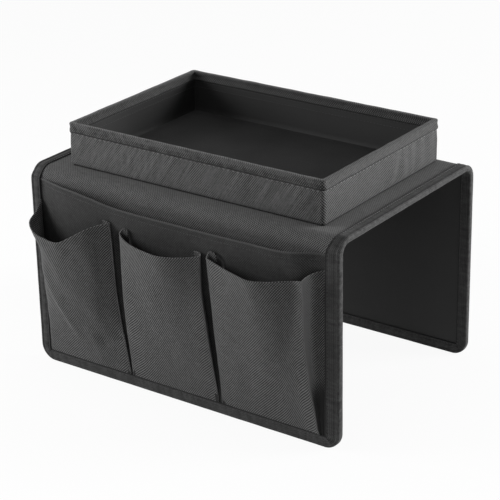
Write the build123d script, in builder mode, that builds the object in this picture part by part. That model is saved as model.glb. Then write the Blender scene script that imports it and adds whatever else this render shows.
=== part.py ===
from build123d import *
import os

# Sofa arm tray: a stiffened fabric saddle that sits over an armrest. A flat platform carries
# a shallow tray, and a pocketed front panel and a plain back panel hang from it on soft folds.
# X runs along the armrest, -Y is the pocket side, Z is up, and the saddle stands on z = 0.

os.makedirs("parts", exist_ok=True)

# Overall sizes
overall_length = 305.0  # along the armrest, over the edge tape
saddle_depth = 202.0  # from the front cover's face to the back cover's face
platform_height = 176.0  # from the floor to the top cover's face
corner_radius = 14.0  # lower corners of both side panels

# Sheets that the saddle is sewn from
board_thickness = 2.5  # stiffener inside the platform and the side panels
cover_thickness = 0.6  # woven outer fabric, also the fabric of the pockets
lining_thickness = 0.5  # smooth inner fabric
tape_thickness = 0.6  # edge tape, folded round every raw edge
tape_width = 10.0  # how far the tape reaches in from an edge, on either face

# Soft folds between the platform and the side panels
fold_radius = 12.0  # outer face of the cover in the fold
fold_clearance = 0.3  # between a fold's lower end and the stiff panel below it

# Tray on the platform
tray_height = 37.0  # from the platform to the top of the rim
tray_side_margin = 27.5  # from the ends of the platform to the tray's left and right walls
tray_front_margin = 19.0  # from the front cover's face to the tray's front wall
tray_back_margin = 13.0  # from the back cover's face to the tray's back wall
tray_board_thickness = 2.0
tray_corner_radius = 3.0  # outer fabric, at the four upright corners
tray_lining_radius = 1.2
hem_height = 9.0  # folded hem over the rim, inside and outside

# Flat pocket behind the small pockets
magazine_mouth_drop = 1.0  # from the fold's lower end to its mouth
magazine_gap = 10.0  # how far its mouth stands off the panel
magazine_slack = 0.2  # how far its foot does
magazine_ramp_start = 3.0  # from the side seam to where the sheet leaves the panel
magazine_ramp = 25.0  # from there to where it stands off in full

# Three small pockets along the front
pocket_mouth_drop = 23.0  # from the magazine pocket's mouth to their mouths
pocket_projection = 30.0  # from the front cover's face to the fullest point of a mouth
pocket_foot_depth = 2.0  # thickness of a pocket where it is pinched at its foot
left_seam_x = -56.0  # seam between the left and the middle pocket
right_seam_x = 39.5  # seam between the middle and the right pocket
seam_clearance = 0.3  # between two sewn layers that are modelled apart

# Plan of each small pocket's mouth from seam to seam, as shares of its width and its depth
pocket_width_shares = {
    "left": (0.0, 0.02, 0.28, 0.5, 0.64, 1.0),
    "middle": (0.0, 0.16, 0.45, 0.66, 0.86, 1.0),
    "right": (0.0, 0.17, 0.42, 0.62, 0.78, 1.0),
}
pocket_depth_shares = {
    "left": (0.0, 0.65, 1.0, 1.0, 0.78, 0.0),
    "middle": (0.0, 0.49, 1.0, 0.95, 0.45, 0.0),
    "right": (0.0, 0.5, 1.0, 0.85, 0.4, 0.0),
}

# Layers and places that follow from the sizes above
panel_thickness = cover_thickness + board_thickness + lining_thickness
front_stack = panel_thickness + 2 * cover_thickness  # with the two pocket layers sewn on
half_length = overall_length / 2
sheet_half_length = half_length - tape_thickness
front_y = -(pocket_projection + saddle_depth + tape_thickness) / 2 + pocket_projection
back_y = front_y + saddle_depth
platform_front_y = front_y + fold_radius
platform_back_y = back_y - fold_radius
platform_mid_y = (platform_front_y + platform_back_y) / 2
platform_run = platform_back_y - platform_front_y
fold_height = platform_height - fold_radius
panel_top = fold_height - fold_clearance
magazine_mouth_height = fold_height - magazine_mouth_drop
pocket_mouth_height = magazine_mouth_height - pocket_mouth_drop
floor_height = tape_width + seam_clearance  # underside of the small pockets' floors
foot_height = floor_height + cover_thickness  # where their walls start
mouth_depth = pocket_projection - 2 * cover_thickness  # inside a pocket, from the magazine pocket
side_seam_x = half_length - tape_width - seam_clearance - cover_thickness
sewn_y = front_y - cover_thickness  # outer face of the magazine pocket where it is sewn down


def facing_front(y):
    """Plane at depth y whose sketches are seen from the front, X to the right and Z up."""
    return Plane.XZ.offset(-y)


def facing_right(x, y, z):
    """Plane through that point whose sketches are seen from the right, Y to the right and Z up."""
    return Plane(origin=(x, y, z), x_dir=(0, 1, 0), z_dir=(1, 0, 0))


def panel_outline(inset, top=panel_top):
    """Side panel outline, inset from the tape's outer edge, with round lower corners."""
    with Locations((0, (inset + top) / 2)):
        outline = Rectangle(overall_length - 2 * inset, top - inset)
    fillet(outline.vertices().group_by(Axis.Y)[0], corner_radius - inset)


def ring_sector(outer, inner, toward):
    """Quarter ring of a fold, from straight up round to the side that toward points to."""
    with BuildLine() as edge:
        Line((0, inner), (0, outer))
        CenterArc((0, 0), outer, 90, -toward * 90)
        Line((toward * outer, 0), (toward * inner, 0))
        CenterArc((0, 0), inner, 90, -toward * 90)
    make_face(edge.edges())


def magazine_face(z):
    """Depth of the magazine pocket's outer face at height z, as it leans off the panel."""
    rise = (z - foot_height) / (magazine_mouth_height - foot_height)
    return sewn_y - magazine_slack - (magazine_gap - magazine_slack) * rise


def magazine_plan(lean_y):
    """Closed outline of the magazine pocket's sheet in plan, with its outer face at lean_y."""
    flat_x = side_seam_x - magazine_ramp_start
    lean_x = flat_x - magazine_ramp
    outer = (
        (-sheet_half_length, sewn_y),
        (-flat_x, sewn_y),
        (-lean_x, lean_y),
        (lean_x, lean_y),
        (flat_x, sewn_y),
        (sheet_half_length, sewn_y),
    )
    inner = [(x, y + cover_thickness) for x, y in reversed(outer)]
    return (*outer, *inner)


def seam_depth(sewn_to_panel, rise):
    """Depth of a pocket's seam, on the panel or on the leaning sheet, at that share of its height."""
    foot_y = magazine_face(foot_height) - seam_clearance / 2
    mouth_y = sewn_y if sewn_to_panel else magazine_face(pocket_mouth_height) - seam_clearance / 2
    return foot_y + (mouth_y - foot_y) * rise


def pocket_plan(name, left, right, z):
    """Inner and outer line of a pocket's fabric at height z, from its left to its right seam."""
    rise = (z - foot_height) / (pocket_mouth_height - foot_height)
    full_depth = pocket_foot_depth + (mouth_depth - pocket_foot_depth) * rise
    left_y = seam_depth(name == "left", rise)
    right_y = seam_depth(name == "right", rise)
    inner = []
    for across, out in zip(pocket_width_shares[name], pocket_depth_shares[name]):
        seam_y = left_y + (right_y - left_y) * across
        fullest_y = sewn_y - full_depth
        inner.append(Vector(left + (right - left) * across, seam_y + (fullest_y - seam_y) * out))
    runs = [(after - before).normalized() for before, after in zip(inner, inner[1:])]
    outer = []
    for i, point in enumerate(inner):
        before = runs[max(i - 1, 0)]
        after = runs[min(i, len(runs) - 1)]
        mitre = Vector(before.Y + after.Y, -before.X - after.X).normalized()
        outer.append(point + mitre * (cover_thickness / mitre.dot(Vector(after.Y, -after.X))))
    return inner, outer


# Platform: stiffening board, outer cover and lining
with BuildPart() as top_cover:
    with BuildSketch(Plane.XY.offset(platform_height - cover_thickness)):
        with Locations((0, platform_mid_y)):
            Rectangle(2 * sheet_half_length, platform_run)
    extrude(amount=cover_thickness)
top_cover.part.label = "top_cover"
export_step(top_cover.part, "parts/top_cover.step")

with BuildPart() as top_board:
    with BuildSketch(Plane.XY.offset(platform_height - cover_thickness - board_thickness)):
        with Locations((0, platform_mid_y)):
            Rectangle(2 * sheet_half_length, platform_run)
    extrude(amount=board_thickness)
top_board.part.label = "top_board"
export_step(top_board.part, "parts/top_board.step")

with BuildPart() as top_lining:
    with BuildSketch(Plane.XY.offset(platform_height - panel_thickness)):
        with Locations((0, platform_mid_y)):
            Rectangle(2 * sheet_half_length, platform_run)
    extrude(amount=lining_thickness)
top_lining.part.label = "top_lining"
export_step(top_lining.part, "parts/top_lining.step")

# Edge tape on the two open ends of the platform, a folded channel round the three layers
for side, sign in (("left", -1), ("right", 1)):
    channel_x = sign * (half_length - tape_width / 2)
    layers_x = channel_x - sign * tape_thickness
    with BuildPart() as top_binding:
        with BuildSketch(Plane.XZ.offset(-platform_back_y)):
            with Locations((channel_x, platform_height - panel_thickness / 2)):
                Rectangle(tape_width, panel_thickness + 2 * tape_thickness)
            with Locations((layers_x, platform_height - panel_thickness / 2)):
                Rectangle(tape_width, panel_thickness, mode=Mode.SUBTRACT)
        extrude(amount=platform_run)
    top_binding.part.label = f"top_binding_{side}"
    export_step(top_binding.part, f"parts/top_binding_{side}.step")

# Tray walls: four boards between an outer fabric and a lining
tray_length = overall_length - 2 * tray_side_margin
tray_depth = saddle_depth - tray_front_margin - tray_back_margin
tray_mid_y = front_y + tray_front_margin + tray_depth / 2
wall_thickness = cover_thickness + tray_board_thickness + lining_thickness
wall_height = tray_height - tape_thickness
lining_length = tray_length - 2 * (cover_thickness + tray_board_thickness)
lining_depth = tray_depth - 2 * (cover_thickness + tray_board_thickness)
tray_base = Plane.XY.offset(platform_height)

with BuildPart() as tray_cover:
    with BuildSketch(tray_base):
        with Locations((0, tray_mid_y)):
            RectangleRounded(tray_length, tray_depth, tray_corner_radius)
            RectangleRounded(
                tray_length - 2 * cover_thickness,
                tray_depth - 2 * cover_thickness,
                tray_corner_radius - cover_thickness,
                mode=Mode.SUBTRACT,
            )
    extrude(amount=wall_height)
tray_cover.part.label = "tray_cover"
export_step(tray_cover.part, "parts/tray_cover.step")

board_offset = cover_thickness + tray_board_thickness / 2
for side, sign in (("front", -1), ("back", 1)):
    with BuildPart() as tray_board:
        with BuildSketch(tray_base):
            with Locations((0, tray_mid_y + sign * (tray_depth / 2 - board_offset))):
                Rectangle(tray_length - 2 * tray_corner_radius, tray_board_thickness)
        extrude(amount=wall_height)
    tray_board.part.label = f"tray_board_{side}"
    export_step(tray_board.part, f"parts/tray_board_{side}.step")

for side, sign in (("left", -1), ("right", 1)):
    with BuildPart() as tray_board:
        with BuildSketch(tray_base):
            with Locations((sign * (tray_length / 2 - board_offset), tray_mid_y)):
                Rectangle(tray_board_thickness, tray_depth - 2 * tray_corner_radius)
        extrude(amount=wall_height)
    tray_board.part.label = f"tray_board_{side}"
    export_step(tray_board.part, f"parts/tray_board_{side}.step")

with BuildPart() as tray_lining:
    with BuildSketch(tray_base):
        with Locations((0, tray_mid_y)):
            RectangleRounded(lining_length, lining_depth, tray_lining_radius)
            RectangleRounded(
                lining_length - 2 * lining_thickness,
                lining_depth - 2 * lining_thickness,
                tray_lining_radius - lining_thickness,
                mode=Mode.SUBTRACT,
            )
    extrude(amount=wall_height)
tray_lining.part.label = "tray_lining"
export_step(tray_lining.part, "parts/tray_lining.step")

with BuildPart() as tray_floor_lining:
    with BuildSketch(tray_base):
        with Locations((0, tray_mid_y)):
            RectangleRounded(
                lining_length - 2 * lining_thickness,
                lining_depth - 2 * lining_thickness,
                tray_lining_radius - lining_thickness,
            )
    extrude(amount=lining_thickness)
tray_floor_lining.part.label = "tray_floor_lining"
export_step(tray_floor_lining.part, "parts/tray_floor_lining.step")

# Hem over the rim: a folded band that closes the tray walls from above
with BuildPart() as tray_hem:
    with BuildSketch(tray_base.offset(tray_height - hem_height)):
        with Locations((0, tray_mid_y)):
            RectangleRounded(
                tray_length + 2 * tape_thickness,
                tray_depth + 2 * tape_thickness,
                tray_corner_radius + tape_thickness,
            )
            Rectangle(
                tray_length - 2 * (wall_thickness + tape_thickness),
                tray_depth - 2 * (wall_thickness + tape_thickness),
                mode=Mode.SUBTRACT,
            )
    extrude(amount=hem_height)
    with BuildSketch(tray_base.offset(tray_height - hem_height)):
        with Locations((0, tray_mid_y)):
            RectangleRounded(tray_length, tray_depth, tray_corner_radius)
            RectangleRounded(
                tray_length - 2 * wall_thickness,
                tray_depth - 2 * wall_thickness,
                tray_lining_radius - lining_thickness,
                mode=Mode.SUBTRACT,
            )
    extrude(amount=hem_height - tape_thickness, mode=Mode.SUBTRACT)
tray_hem.part.label = "tray_hem"
export_step(tray_hem.part, "parts/tray_hem.step")

# Side panels: cover, board and lining, counted inward from the face that shows
for side, face_y, inward in (("front", front_y, 1), ("back", back_y, -1)):
    depth = 0.0
    for layer, thickness in (
        ("cover", cover_thickness),
        ("board", board_thickness),
        ("lining", lining_thickness),
    ):
        outer_y = face_y + inward * depth
        inner_y = outer_y + inward * thickness
        with BuildPart() as panel_layer:
            with BuildSketch(facing_front(max(outer_y, inner_y))):
                panel_outline(tape_thickness)
            extrude(amount=thickness)
        panel_layer.part.label = f"{side}_{layer}"
        export_step(panel_layer.part, f"parts/{side}_{layer}.step")
        depth += thickness

# Edge tape round the left edge, the foot and the right edge of each side panel
for side, inner_y, stack in (
    ("front", front_y + panel_thickness, front_stack),
    ("back", back_y, panel_thickness),
):
    with BuildPart() as binding:
        with BuildSketch(facing_front(inner_y + tape_thickness)):
            panel_outline(0)
        extrude(amount=stack + 2 * tape_thickness)
        with BuildSketch(facing_front(inner_y)):
            panel_outline(tape_thickness)
        extrude(amount=stack, mode=Mode.SUBTRACT)
        with BuildSketch(facing_front(inner_y + tape_thickness)):
            with Locations((0, (tape_width + panel_top) / 2)):
                Rectangle(overall_length - 2 * tape_width, panel_top - tape_width)
        extrude(amount=stack + 2 * tape_thickness, mode=Mode.SUBTRACT)
    binding.part.label = f"{side}_binding"
    export_step(binding.part, f"parts/{side}_binding.step")

# Soft folds: cover, lining and tape bend round a quarter circle with no board between them
for side, centre_y, toward in (("front", platform_front_y, -1), ("back", platform_back_y, 1)):
    for layer, outer, thickness in (
        ("cover", fold_radius, cover_thickness),
        ("lining", fold_radius - panel_thickness + lining_thickness, lining_thickness),
    ):
        with BuildPart() as fold_layer:
            with BuildSketch(facing_right(-sheet_half_length, centre_y, fold_height)):
                ring_sector(outer, outer - thickness, toward)
            extrude(amount=2 * sheet_half_length)
        fold_layer.part.label = f"{side}_fold_{layer}"
        export_step(fold_layer.part, f"parts/{side}_fold_{layer}.step")

    for end, sign in (("left", -1), ("right", 1)):
        tape_plane = facing_right(sign * half_length, centre_y, fold_height)
        with BuildPart() as fold_binding:
            with BuildSketch(tape_plane):
                ring_sector(
                    fold_radius + tape_thickness,
                    fold_radius - panel_thickness - tape_thickness,
                    toward,
                )
            extrude(amount=-sign * tape_width)
            with BuildSketch(tape_plane.offset(-sign * tape_thickness)):
                ring_sector(fold_radius, fold_radius - panel_thickness, toward)
            extrude(amount=-sign * tape_width, mode=Mode.SUBTRACT)
        fold_binding.part.label = f"{side}_fold_binding_{end}"
        export_step(fold_binding.part, f"parts/{side}_fold_binding_{end}.step")

# Magazine pocket: one wide sheet, flat under the tape and leaning off the panel between its ramps
with BuildPart() as magazine_pocket:
    for z in (foot_height, magazine_mouth_height):
        with BuildSketch(Plane.XY.offset(z)):
            with BuildLine():
                Polyline(*magazine_plan(magazine_face(z)), close=True)
            make_face()
    loft(ruled=True)
    with BuildSketch(facing_front(front_y)):
        with Locations((0, (tape_thickness + foot_height) / 2)):
            Rectangle(2 * sheet_half_length, foot_height - tape_thickness)
    extrude(amount=cover_thickness)
    with BuildSketch(facing_front(front_y)):
        panel_outline(tape_thickness, magazine_mouth_height)
    extrude(amount=magazine_gap + 2 * cover_thickness, mode=Mode.INTERSECT)
magazine_pocket.part.label = "magazine_pocket"
export_step(magazine_pocket.part, "parts/magazine_pocket.step")

# Small pockets: fabric wedges pinched at the foot and open at the mouth, sewn into the tape
seam_gap = cover_thickness + seam_clearance  # from a seam to the inner face of a wall beside it
behind = Vector(0, cover_thickness)  # the cavity is cut this far past the pocket's open back
wall_root = 2 * cover_thickness  # how far the tab under the tape reaches in below a pocket's wall
for name, left, right in (
    ("left", -side_seam_x, left_seam_x - seam_gap),
    ("middle", left_seam_x + seam_gap, right_seam_x - seam_gap),
    ("right", right_seam_x + seam_gap, side_seam_x),
):
    with BuildPart() as pocket:
        for z in (floor_height, pocket_mouth_height):
            inner, outer = pocket_plan(name, left, right, z)
            with BuildSketch(Plane.XY.offset(z)):
                with BuildLine():
                    Polyline(*outer, inner[-1], inner[0], close=True)
                make_face()
        loft(ruled=True)
        for z in (foot_height, pocket_mouth_height):
            inner, _ = pocket_plan(name, left, right, z)
            with BuildSketch(Plane.XY.offset(z)):
                with BuildLine():
                    Polyline(*inner, inner[-1] + behind, inner[0] + behind, close=True)
                make_face()
        loft(ruled=True, mode=Mode.SUBTRACT)
        with BuildSketch(facing_front(sewn_y)):
            panel_outline(tape_thickness, pocket_mouth_height)
            tab_left = -half_length if name == "left" else left
            tab_right = half_length if name == "right" else right
            with Locations(((tab_left + tab_right) / 2, pocket_mouth_height / 2)):
                Rectangle(tab_right - tab_left, pocket_mouth_height, mode=Mode.INTERSECT)
            open_left = left + wall_root if name == "left" else left
            open_right = right - wall_root if name == "right" else right
            with Locations(((open_left + open_right) / 2, (foot_height + pocket_mouth_height) / 2)):
                Rectangle(
                    open_right - open_left, pocket_mouth_height - foot_height, mode=Mode.SUBTRACT
                )
        extrude(amount=cover_thickness)
    pocket.part.label = f"pocket_{name}"
    export_step(pocket.part, f"parts/pocket_{name}.step")
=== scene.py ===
"""Sofa arm tray: a stiffened fabric saddle with a shallow tray on top and pockets along its front.

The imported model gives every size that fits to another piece. Each class below builds the cloth of one
sub-assembly round the boards of that model, in metres and in the same frame, and dresses it.
"""

import logging
import math
from dataclasses import dataclass
from enum import Enum
from typing import Any, Iterable, Optional, Sequence

import bpy
import numpy as np
from mathutils import Matrix, Vector


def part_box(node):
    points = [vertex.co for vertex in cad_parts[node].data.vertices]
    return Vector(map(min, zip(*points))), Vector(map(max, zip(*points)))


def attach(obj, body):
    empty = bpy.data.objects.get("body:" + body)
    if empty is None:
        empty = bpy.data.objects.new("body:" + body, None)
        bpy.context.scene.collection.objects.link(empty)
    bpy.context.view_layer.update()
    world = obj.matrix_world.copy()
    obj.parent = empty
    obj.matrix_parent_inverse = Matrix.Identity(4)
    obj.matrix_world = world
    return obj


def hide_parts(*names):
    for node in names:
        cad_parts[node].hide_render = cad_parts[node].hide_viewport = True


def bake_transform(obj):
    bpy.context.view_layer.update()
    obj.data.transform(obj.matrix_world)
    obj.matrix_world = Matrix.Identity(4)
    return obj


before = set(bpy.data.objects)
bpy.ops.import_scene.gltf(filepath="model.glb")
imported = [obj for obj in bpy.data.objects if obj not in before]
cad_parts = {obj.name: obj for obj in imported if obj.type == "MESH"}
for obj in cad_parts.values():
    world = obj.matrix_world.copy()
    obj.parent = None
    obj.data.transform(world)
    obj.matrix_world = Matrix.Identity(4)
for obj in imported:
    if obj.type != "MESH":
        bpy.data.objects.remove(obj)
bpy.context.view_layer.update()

MM = 0.001
SQUARE_MM = 1e6  # in a square metre
HAIR = 0.02 * MM  # the least distance kept from what lies below
SHEEN = (0.8, 0.8, 0.8, 1.0)
WHITE = (1.0, 1.0, 1.0, 1.0)
WEAVE_MAP = "weave"  # each mesh's map holds lengths along the cloth, in metres
LOG = logging.getLogger("arm_tray")

Pair = tuple[float, float]
Triple = tuple[float, float, float]


class Body(Enum):
    """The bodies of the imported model."""

    PLATFORM = "platform"
    FRONT = "front_panel"
    BACK = "back_panel"

    @property
    def word(self) -> str:
        """The first word of the names of the pieces on this body."""
        return self.value.split("_")[0]

    @property
    def node_word(self) -> str:
        """The first word of the names of the model's nodes on this body."""
        return "top" if self is Body.PLATFORM else self.word


# ---- small sums on numbers and on arrays of numbers


def ease(x: Any) -> Any:
    """Rises smoothly from 0 to 1 while x does.

    Args:
        x: a number or an array.

    Returns:
        The eased share, of the same shape.
    """
    x = np.clip(x, 0.0, 1.0)
    return x * x * (3.0 - 2.0 * x)


def bell(x: Any, width: float) -> Any:
    """A smooth hump of height 1 round zero.

    Args:
        x: distances from the hump's middle.
        width: the distance at which it has sunk to about a third.

    Returns:
        The hump's height at each distance.
    """
    return np.exp(-np.square(np.asarray(x) / width))


def sway(u: np.ndarray, v: np.ndarray, wavelength: float, seed: int, waves: int = 7) -> np.ndarray:
    """Slow, irregular waves over a sheet, between about -1 and 1.

    Args:
        u: first length along the sheet, in metres.
        v: second length along the sheet, in metres.
        wavelength: the usual distance between crests.
        seed: picks the waves.
        waves: how many are added up.

    Returns:
        The height at each point.
    """
    spread = (0.6, 1.7)  # shortest and longest wave, as shares of the usual one
    usual_height = 1.4  # of the waves' sum, over the square root of their number
    dice = np.random.default_rng(seed)
    total = np.zeros(np.broadcast(u, v).shape)
    for _ in range(waves):
        turn, phase = dice.uniform(0, 2 * math.pi, 2)
        pitch = 2 * math.pi / (wavelength * dice.uniform(*spread))
        total = total + np.sin(pitch * (math.cos(turn) * u + math.sin(turn) * v) + phase)
    return total / math.sqrt(waves) / usual_height


def spline_weights(knots: Sequence[float], at: np.ndarray, slack: Optional[Sequence[float]] = None) -> np.ndarray:
    """Weights of a smooth curve through points, one row for each place asked for.

    Args:
        knots: where the points lie along the curve, rising.
        at: the places asked for, on the same scale.
        slack: a factor on the tangent at each point, 1 for round and near 0 for a crisp fold.

    Returns:
        A matrix that turns the points into the curve's places.
    """
    knots = np.asarray(knots, float)
    n = len(knots)
    slack = np.ones(n) if slack is None else np.asarray(slack, float)
    tangent = np.zeros((n, n))
    for i in range(n):
        a, b = max(i - 1, 0), min(i + 1, n - 1)
        tangent[i, b] += slack[i] / (knots[b] - knots[a])
        tangent[i, a] -= slack[i] / (knots[b] - knots[a])
    cell = np.clip(np.searchsorted(knots, at, side="right") - 1, 0, n - 2)
    span = knots[cell + 1] - knots[cell]
    t = ((at - knots[cell]) / span)[:, None]
    eye = np.eye(n)
    return (
        (2 * t**3 - 3 * t**2 + 1) * eye[cell]
        + (t**3 - 2 * t**2 + t) * span[:, None] * tangent[cell]
        + (3 * t**2 - 2 * t**3) * eye[cell + 1]
        + (t**3 - t**2) * span[:, None] * tangent[cell + 1]
    )


def gathered_steps(stops: Sequence[float], step: float) -> np.ndarray:
    """Places from the first stop to the last, evenly spread between stops and landing on each.

    Args:
        stops: the places that must be hit, rising.
        step: the widest distance between two places.

    Returns:
        All places, rising.
    """
    runs = [
        np.linspace(a, b, max(int(math.ceil((b - a) / step)), 1) + 1)[:-1]
        for a, b in zip(stops, stops[1:])
    ]
    return np.concatenate([*runs, [stops[-1]]])


def run_along(points: np.ndarray) -> np.ndarray:
    """Length along a line of points, at each of them."""
    return np.concatenate([[0.0], np.cumsum(np.linalg.norm(np.diff(points, axis=0), axis=1))])


def left_of(line: np.ndarray) -> np.ndarray:
    """Directions straight off a flat line, to the left of its travel, one for each point."""
    ahead = np.gradient(line, axis=0)
    return np.stack([-ahead[:, 1], ahead[:, 0]], -1) / np.linalg.norm(ahead, axis=1)[:, None]


def across_strip(section: np.ndarray, width: float) -> np.ndarray:
    """Lengths across a folded strip of cloth, 0 at its fold.

    Args:
        section: its outer face, from one raw edge over the fold to the other.
        width: the flat strip's width.

    Returns:
        The lengths along the outer face and back along the inner one.
    """
    around = run_along(section)
    around = (around / around[-1] - 0.5) * width
    return np.concatenate([around, around[::-1]])


def length_map(u: np.ndarray, v: np.ndarray) -> np.ndarray:
    """Pairs of lengths along the cloth, one pair for each point of a grid."""
    return np.stack(np.broadcast_arrays(u, v), -1)


# ---- meshes


def placed(name: str, data: bpy.types.ID) -> bpy.types.Object:
    """Puts a new thing in the scene.

    Args:
        name: its name.
        data: its mesh, lamp or camera.

    Returns:
        The object.
    """
    thing = bpy.data.objects.new(name, data)
    bpy.context.scene.collection.objects.link(thing)
    return thing


@dataclass
class Cloth:
    """Turns grids of points into closed meshes with a map of lengths along the cloth."""

    name: str

    def made(self, points: np.ndarray, faces: np.ndarray, lengths: np.ndarray, crease: float) -> bpy.types.Object:
        """Makes the object.

        Args:
            points: the corners, one row each.
            faces: four corner numbers in each row.
            lengths: two lengths along the cloth for each corner.
            crease: faces that meet at a wider angle than this, in degrees, keep a hard edge.

        Returns:
            The new object, linked to the scene.
        """
        mesh = bpy.data.meshes.new(self.name)
        mesh.vertices.add(len(points))
        mesh.vertices.foreach_set("co", np.ascontiguousarray(points, np.float32).ravel())
        mesh.loops.add(faces.size)
        mesh.loops.foreach_set("vertex_index", faces.ravel().astype(np.int32))
        mesh.polygons.add(len(faces))
        mesh.polygons.foreach_set("loop_start", np.arange(0, faces.size, 4, dtype=np.int32))
        mesh.update(calc_edges=True)
        mesh.uv_layers.new(name=WEAVE_MAP)
        mesh.uv_layers[WEAVE_MAP].uv.foreach_set("vector", lengths[faces.ravel()].astype(np.float32).ravel())
        mesh.shade_smooth()
        mesh.set_sharp_from_angle(angle=math.radians(crease))
        mesh.validate()
        return placed(self.name, mesh)

    def sheet(self, face: np.ndarray, back: np.ndarray, lengths: np.ndarray, crease: float = 50) -> bpy.types.Object:
        """A sheet with two layers and a rim.

        Args:
            face: rows of points on the side that shows; rows x columns, seen from outside, run so that
                row direction times column direction points out.
            back: the same for the other side.
            lengths: two lengths along the cloth for each point.
            crease: the angle, in degrees, over which an edge stays hard.

        Returns:
            The new object.
        """
        rows, cols = face.shape[:2]
        index = np.arange(rows * cols).reshape(rows, cols)
        top = np.stack([index[:-1, :-1], index[1:, :-1], index[1:, 1:], index[:-1, 1:]], -1).reshape(-1, 4)
        under = top[:, ::-1] + rows * cols
        border = np.concatenate([index[0, :], index[1:, -1], index[-1, -2::-1], index[-2:0:-1, 0]])
        after = np.roll(border, -1)
        rim = np.stack([border, after, after + rows * cols, border + rows * cols], -1)
        points = np.concatenate([face.reshape(-1, 3), back.reshape(-1, 3)])
        both = np.concatenate([lengths.reshape(-1, 2)] * 2)
        return self.made(points, np.concatenate([top, under, rim]), both, crease)

    def wrapped(self, rings: np.ndarray, lengths: np.ndarray, crease: float = 50) -> bpy.types.Object:
        """A band whose section is a closed line, with its two ends capped.

        Args:
            rings: stations x points of the section x 3. The section runs so that its direction times the
                band's direction points out, and its second half runs back along the first.
            lengths: two lengths along the cloth for each point.
            crease: the angle, in degrees, over which an edge stays hard.

        Returns:
            The new object.
        """
        stations, count = rings.shape[:2]
        index = np.arange(stations * count).reshape(stations, count)
        after = np.roll(index, -1, axis=1)
        skin = np.stack([index[:-1], after[:-1], after[1:], index[1:]], -1).reshape(-1, 4)
        low = np.arange(count // 2 - 1)
        caps = []
        for ring, flip in ((index[0], True), (index[-1], False)):
            quads = np.stack([ring[low], ring[low + 1], ring[count - 2 - low], ring[count - 1 - low]], -1)
            caps.append(quads[:, ::-1] if flip else quads)
        return self.made(rings.reshape(-1, 3), np.concatenate([skin, *caps]), lengths.reshape(-1, 2), crease)


@dataclass
class Seam:
    """A row of short thread stitches, each a slim bent capsule half sunk into the cloth."""

    name: str
    pitch: float = 3 * MM
    stitch: float = 2.3 * MM
    thread: float = 0.42 * MM
    slant: float = 0.0  # sideways reach of alternate stitches, for a zig-zag
    rise: float = 0.18  # how far the middle of a stitch stands up, in threads
    bend: float = 0.5  # how far its ends lie lower than its middle, in threads
    rings: int = 5  # along one stitch
    sides: int = 6  # round one stitch; the caps below are made for six
    blunt: float = 1.02  # squared half length at which a stitch would end in a point; its rings reach 1
    crease: float = 60

    def stitches(self, line: np.ndarray, out: np.ndarray) -> np.ndarray:
        """The stitches along one line.

        Args:
            line: its points.
            out: the cloth's outward direction at each.

        Returns:
            Stitches x rings x sides x 3.
        """
        run = run_along(line)
        count = int(run[-1] / self.pitch)
        middle = (np.arange(count) + 0.5) * run[-1] / max(count, 1)
        behind, centre, ahead = (
            np.stack([np.interp(s, run, line[:, k]) for k in range(3)], -1)
            for s in (middle - self.stitch / 2, middle, middle + self.stitch / 2)
        )
        up = np.stack([np.interp(middle, run, out[:, k]) for k in range(3)], -1)
        up /= np.linalg.norm(up, axis=1)[:, None]
        axis = ahead - behind
        axis /= np.linalg.norm(axis, axis=1)[:, None]
        side = np.cross(up, axis)
        lean = self.slant * np.where(np.arange(count) % 2, 1.0, -1.0)[:, None]
        turn = np.linspace(0, 2 * math.pi, self.sides, endpoint=False)[None, :, None]
        rings = []
        for s in np.linspace(-1, 1, self.rings):
            lift = self.thread * (self.rise - self.bend * s * s)
            core = centre + axis * (s * self.stitch / 2) + side * (lean * s) + up * lift
            radius = self.thread / 2 * np.sqrt(self.blunt - s**2)
            rings.append(core[:, None] + radius * (np.cos(turn) * side[:, None] + np.sin(turn) * up[:, None]))
        return np.stack(rings, 1)

    def sew(self, runs: Iterable[tuple[np.ndarray, np.ndarray]]) -> bpy.types.Object:
        """Sews along each line.

        Args:
            runs: pairs of a line's points and the cloth's outward direction at each.

        Returns:
            One object with all stitches of these lines.
        """
        points = np.concatenate([self.stitches(line, out) for line, out in runs])
        total = len(points)
        index = np.arange(total * self.rings * self.sides).reshape(total, self.rings, self.sides)
        after = np.roll(index, -1, axis=2)
        skin = np.stack([index[:, :-1], after[:, :-1], after[:, 1:], index[:, 1:]], -1).reshape(-1, 4)
        first, last = index[:, 0], index[:, -1]
        caps = [first[:, (3, 2, 1, 0)], first[:, (5, 4, 3, 0)], last[:, (0, 1, 2, 3)], last[:, (0, 3, 4, 5)]]
        turn = np.linspace(0, 2 * math.pi, self.sides, endpoint=False)
        lengths = np.zeros((total * self.rings * self.sides, 2))
        lengths[:, 0] = np.tile(np.repeat(np.linspace(-1, 1, self.rings) * self.stitch / 2, self.sides), total)
        lengths[:, 1] = np.tile(turn * self.thread / 2, total * self.rings)
        return Cloth(self.name).made(points.reshape(-1, 3), np.concatenate([skin, *caps]), lengths, self.crease)


# ---- the shape that all the fabric of the platform and the panels follows


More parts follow.
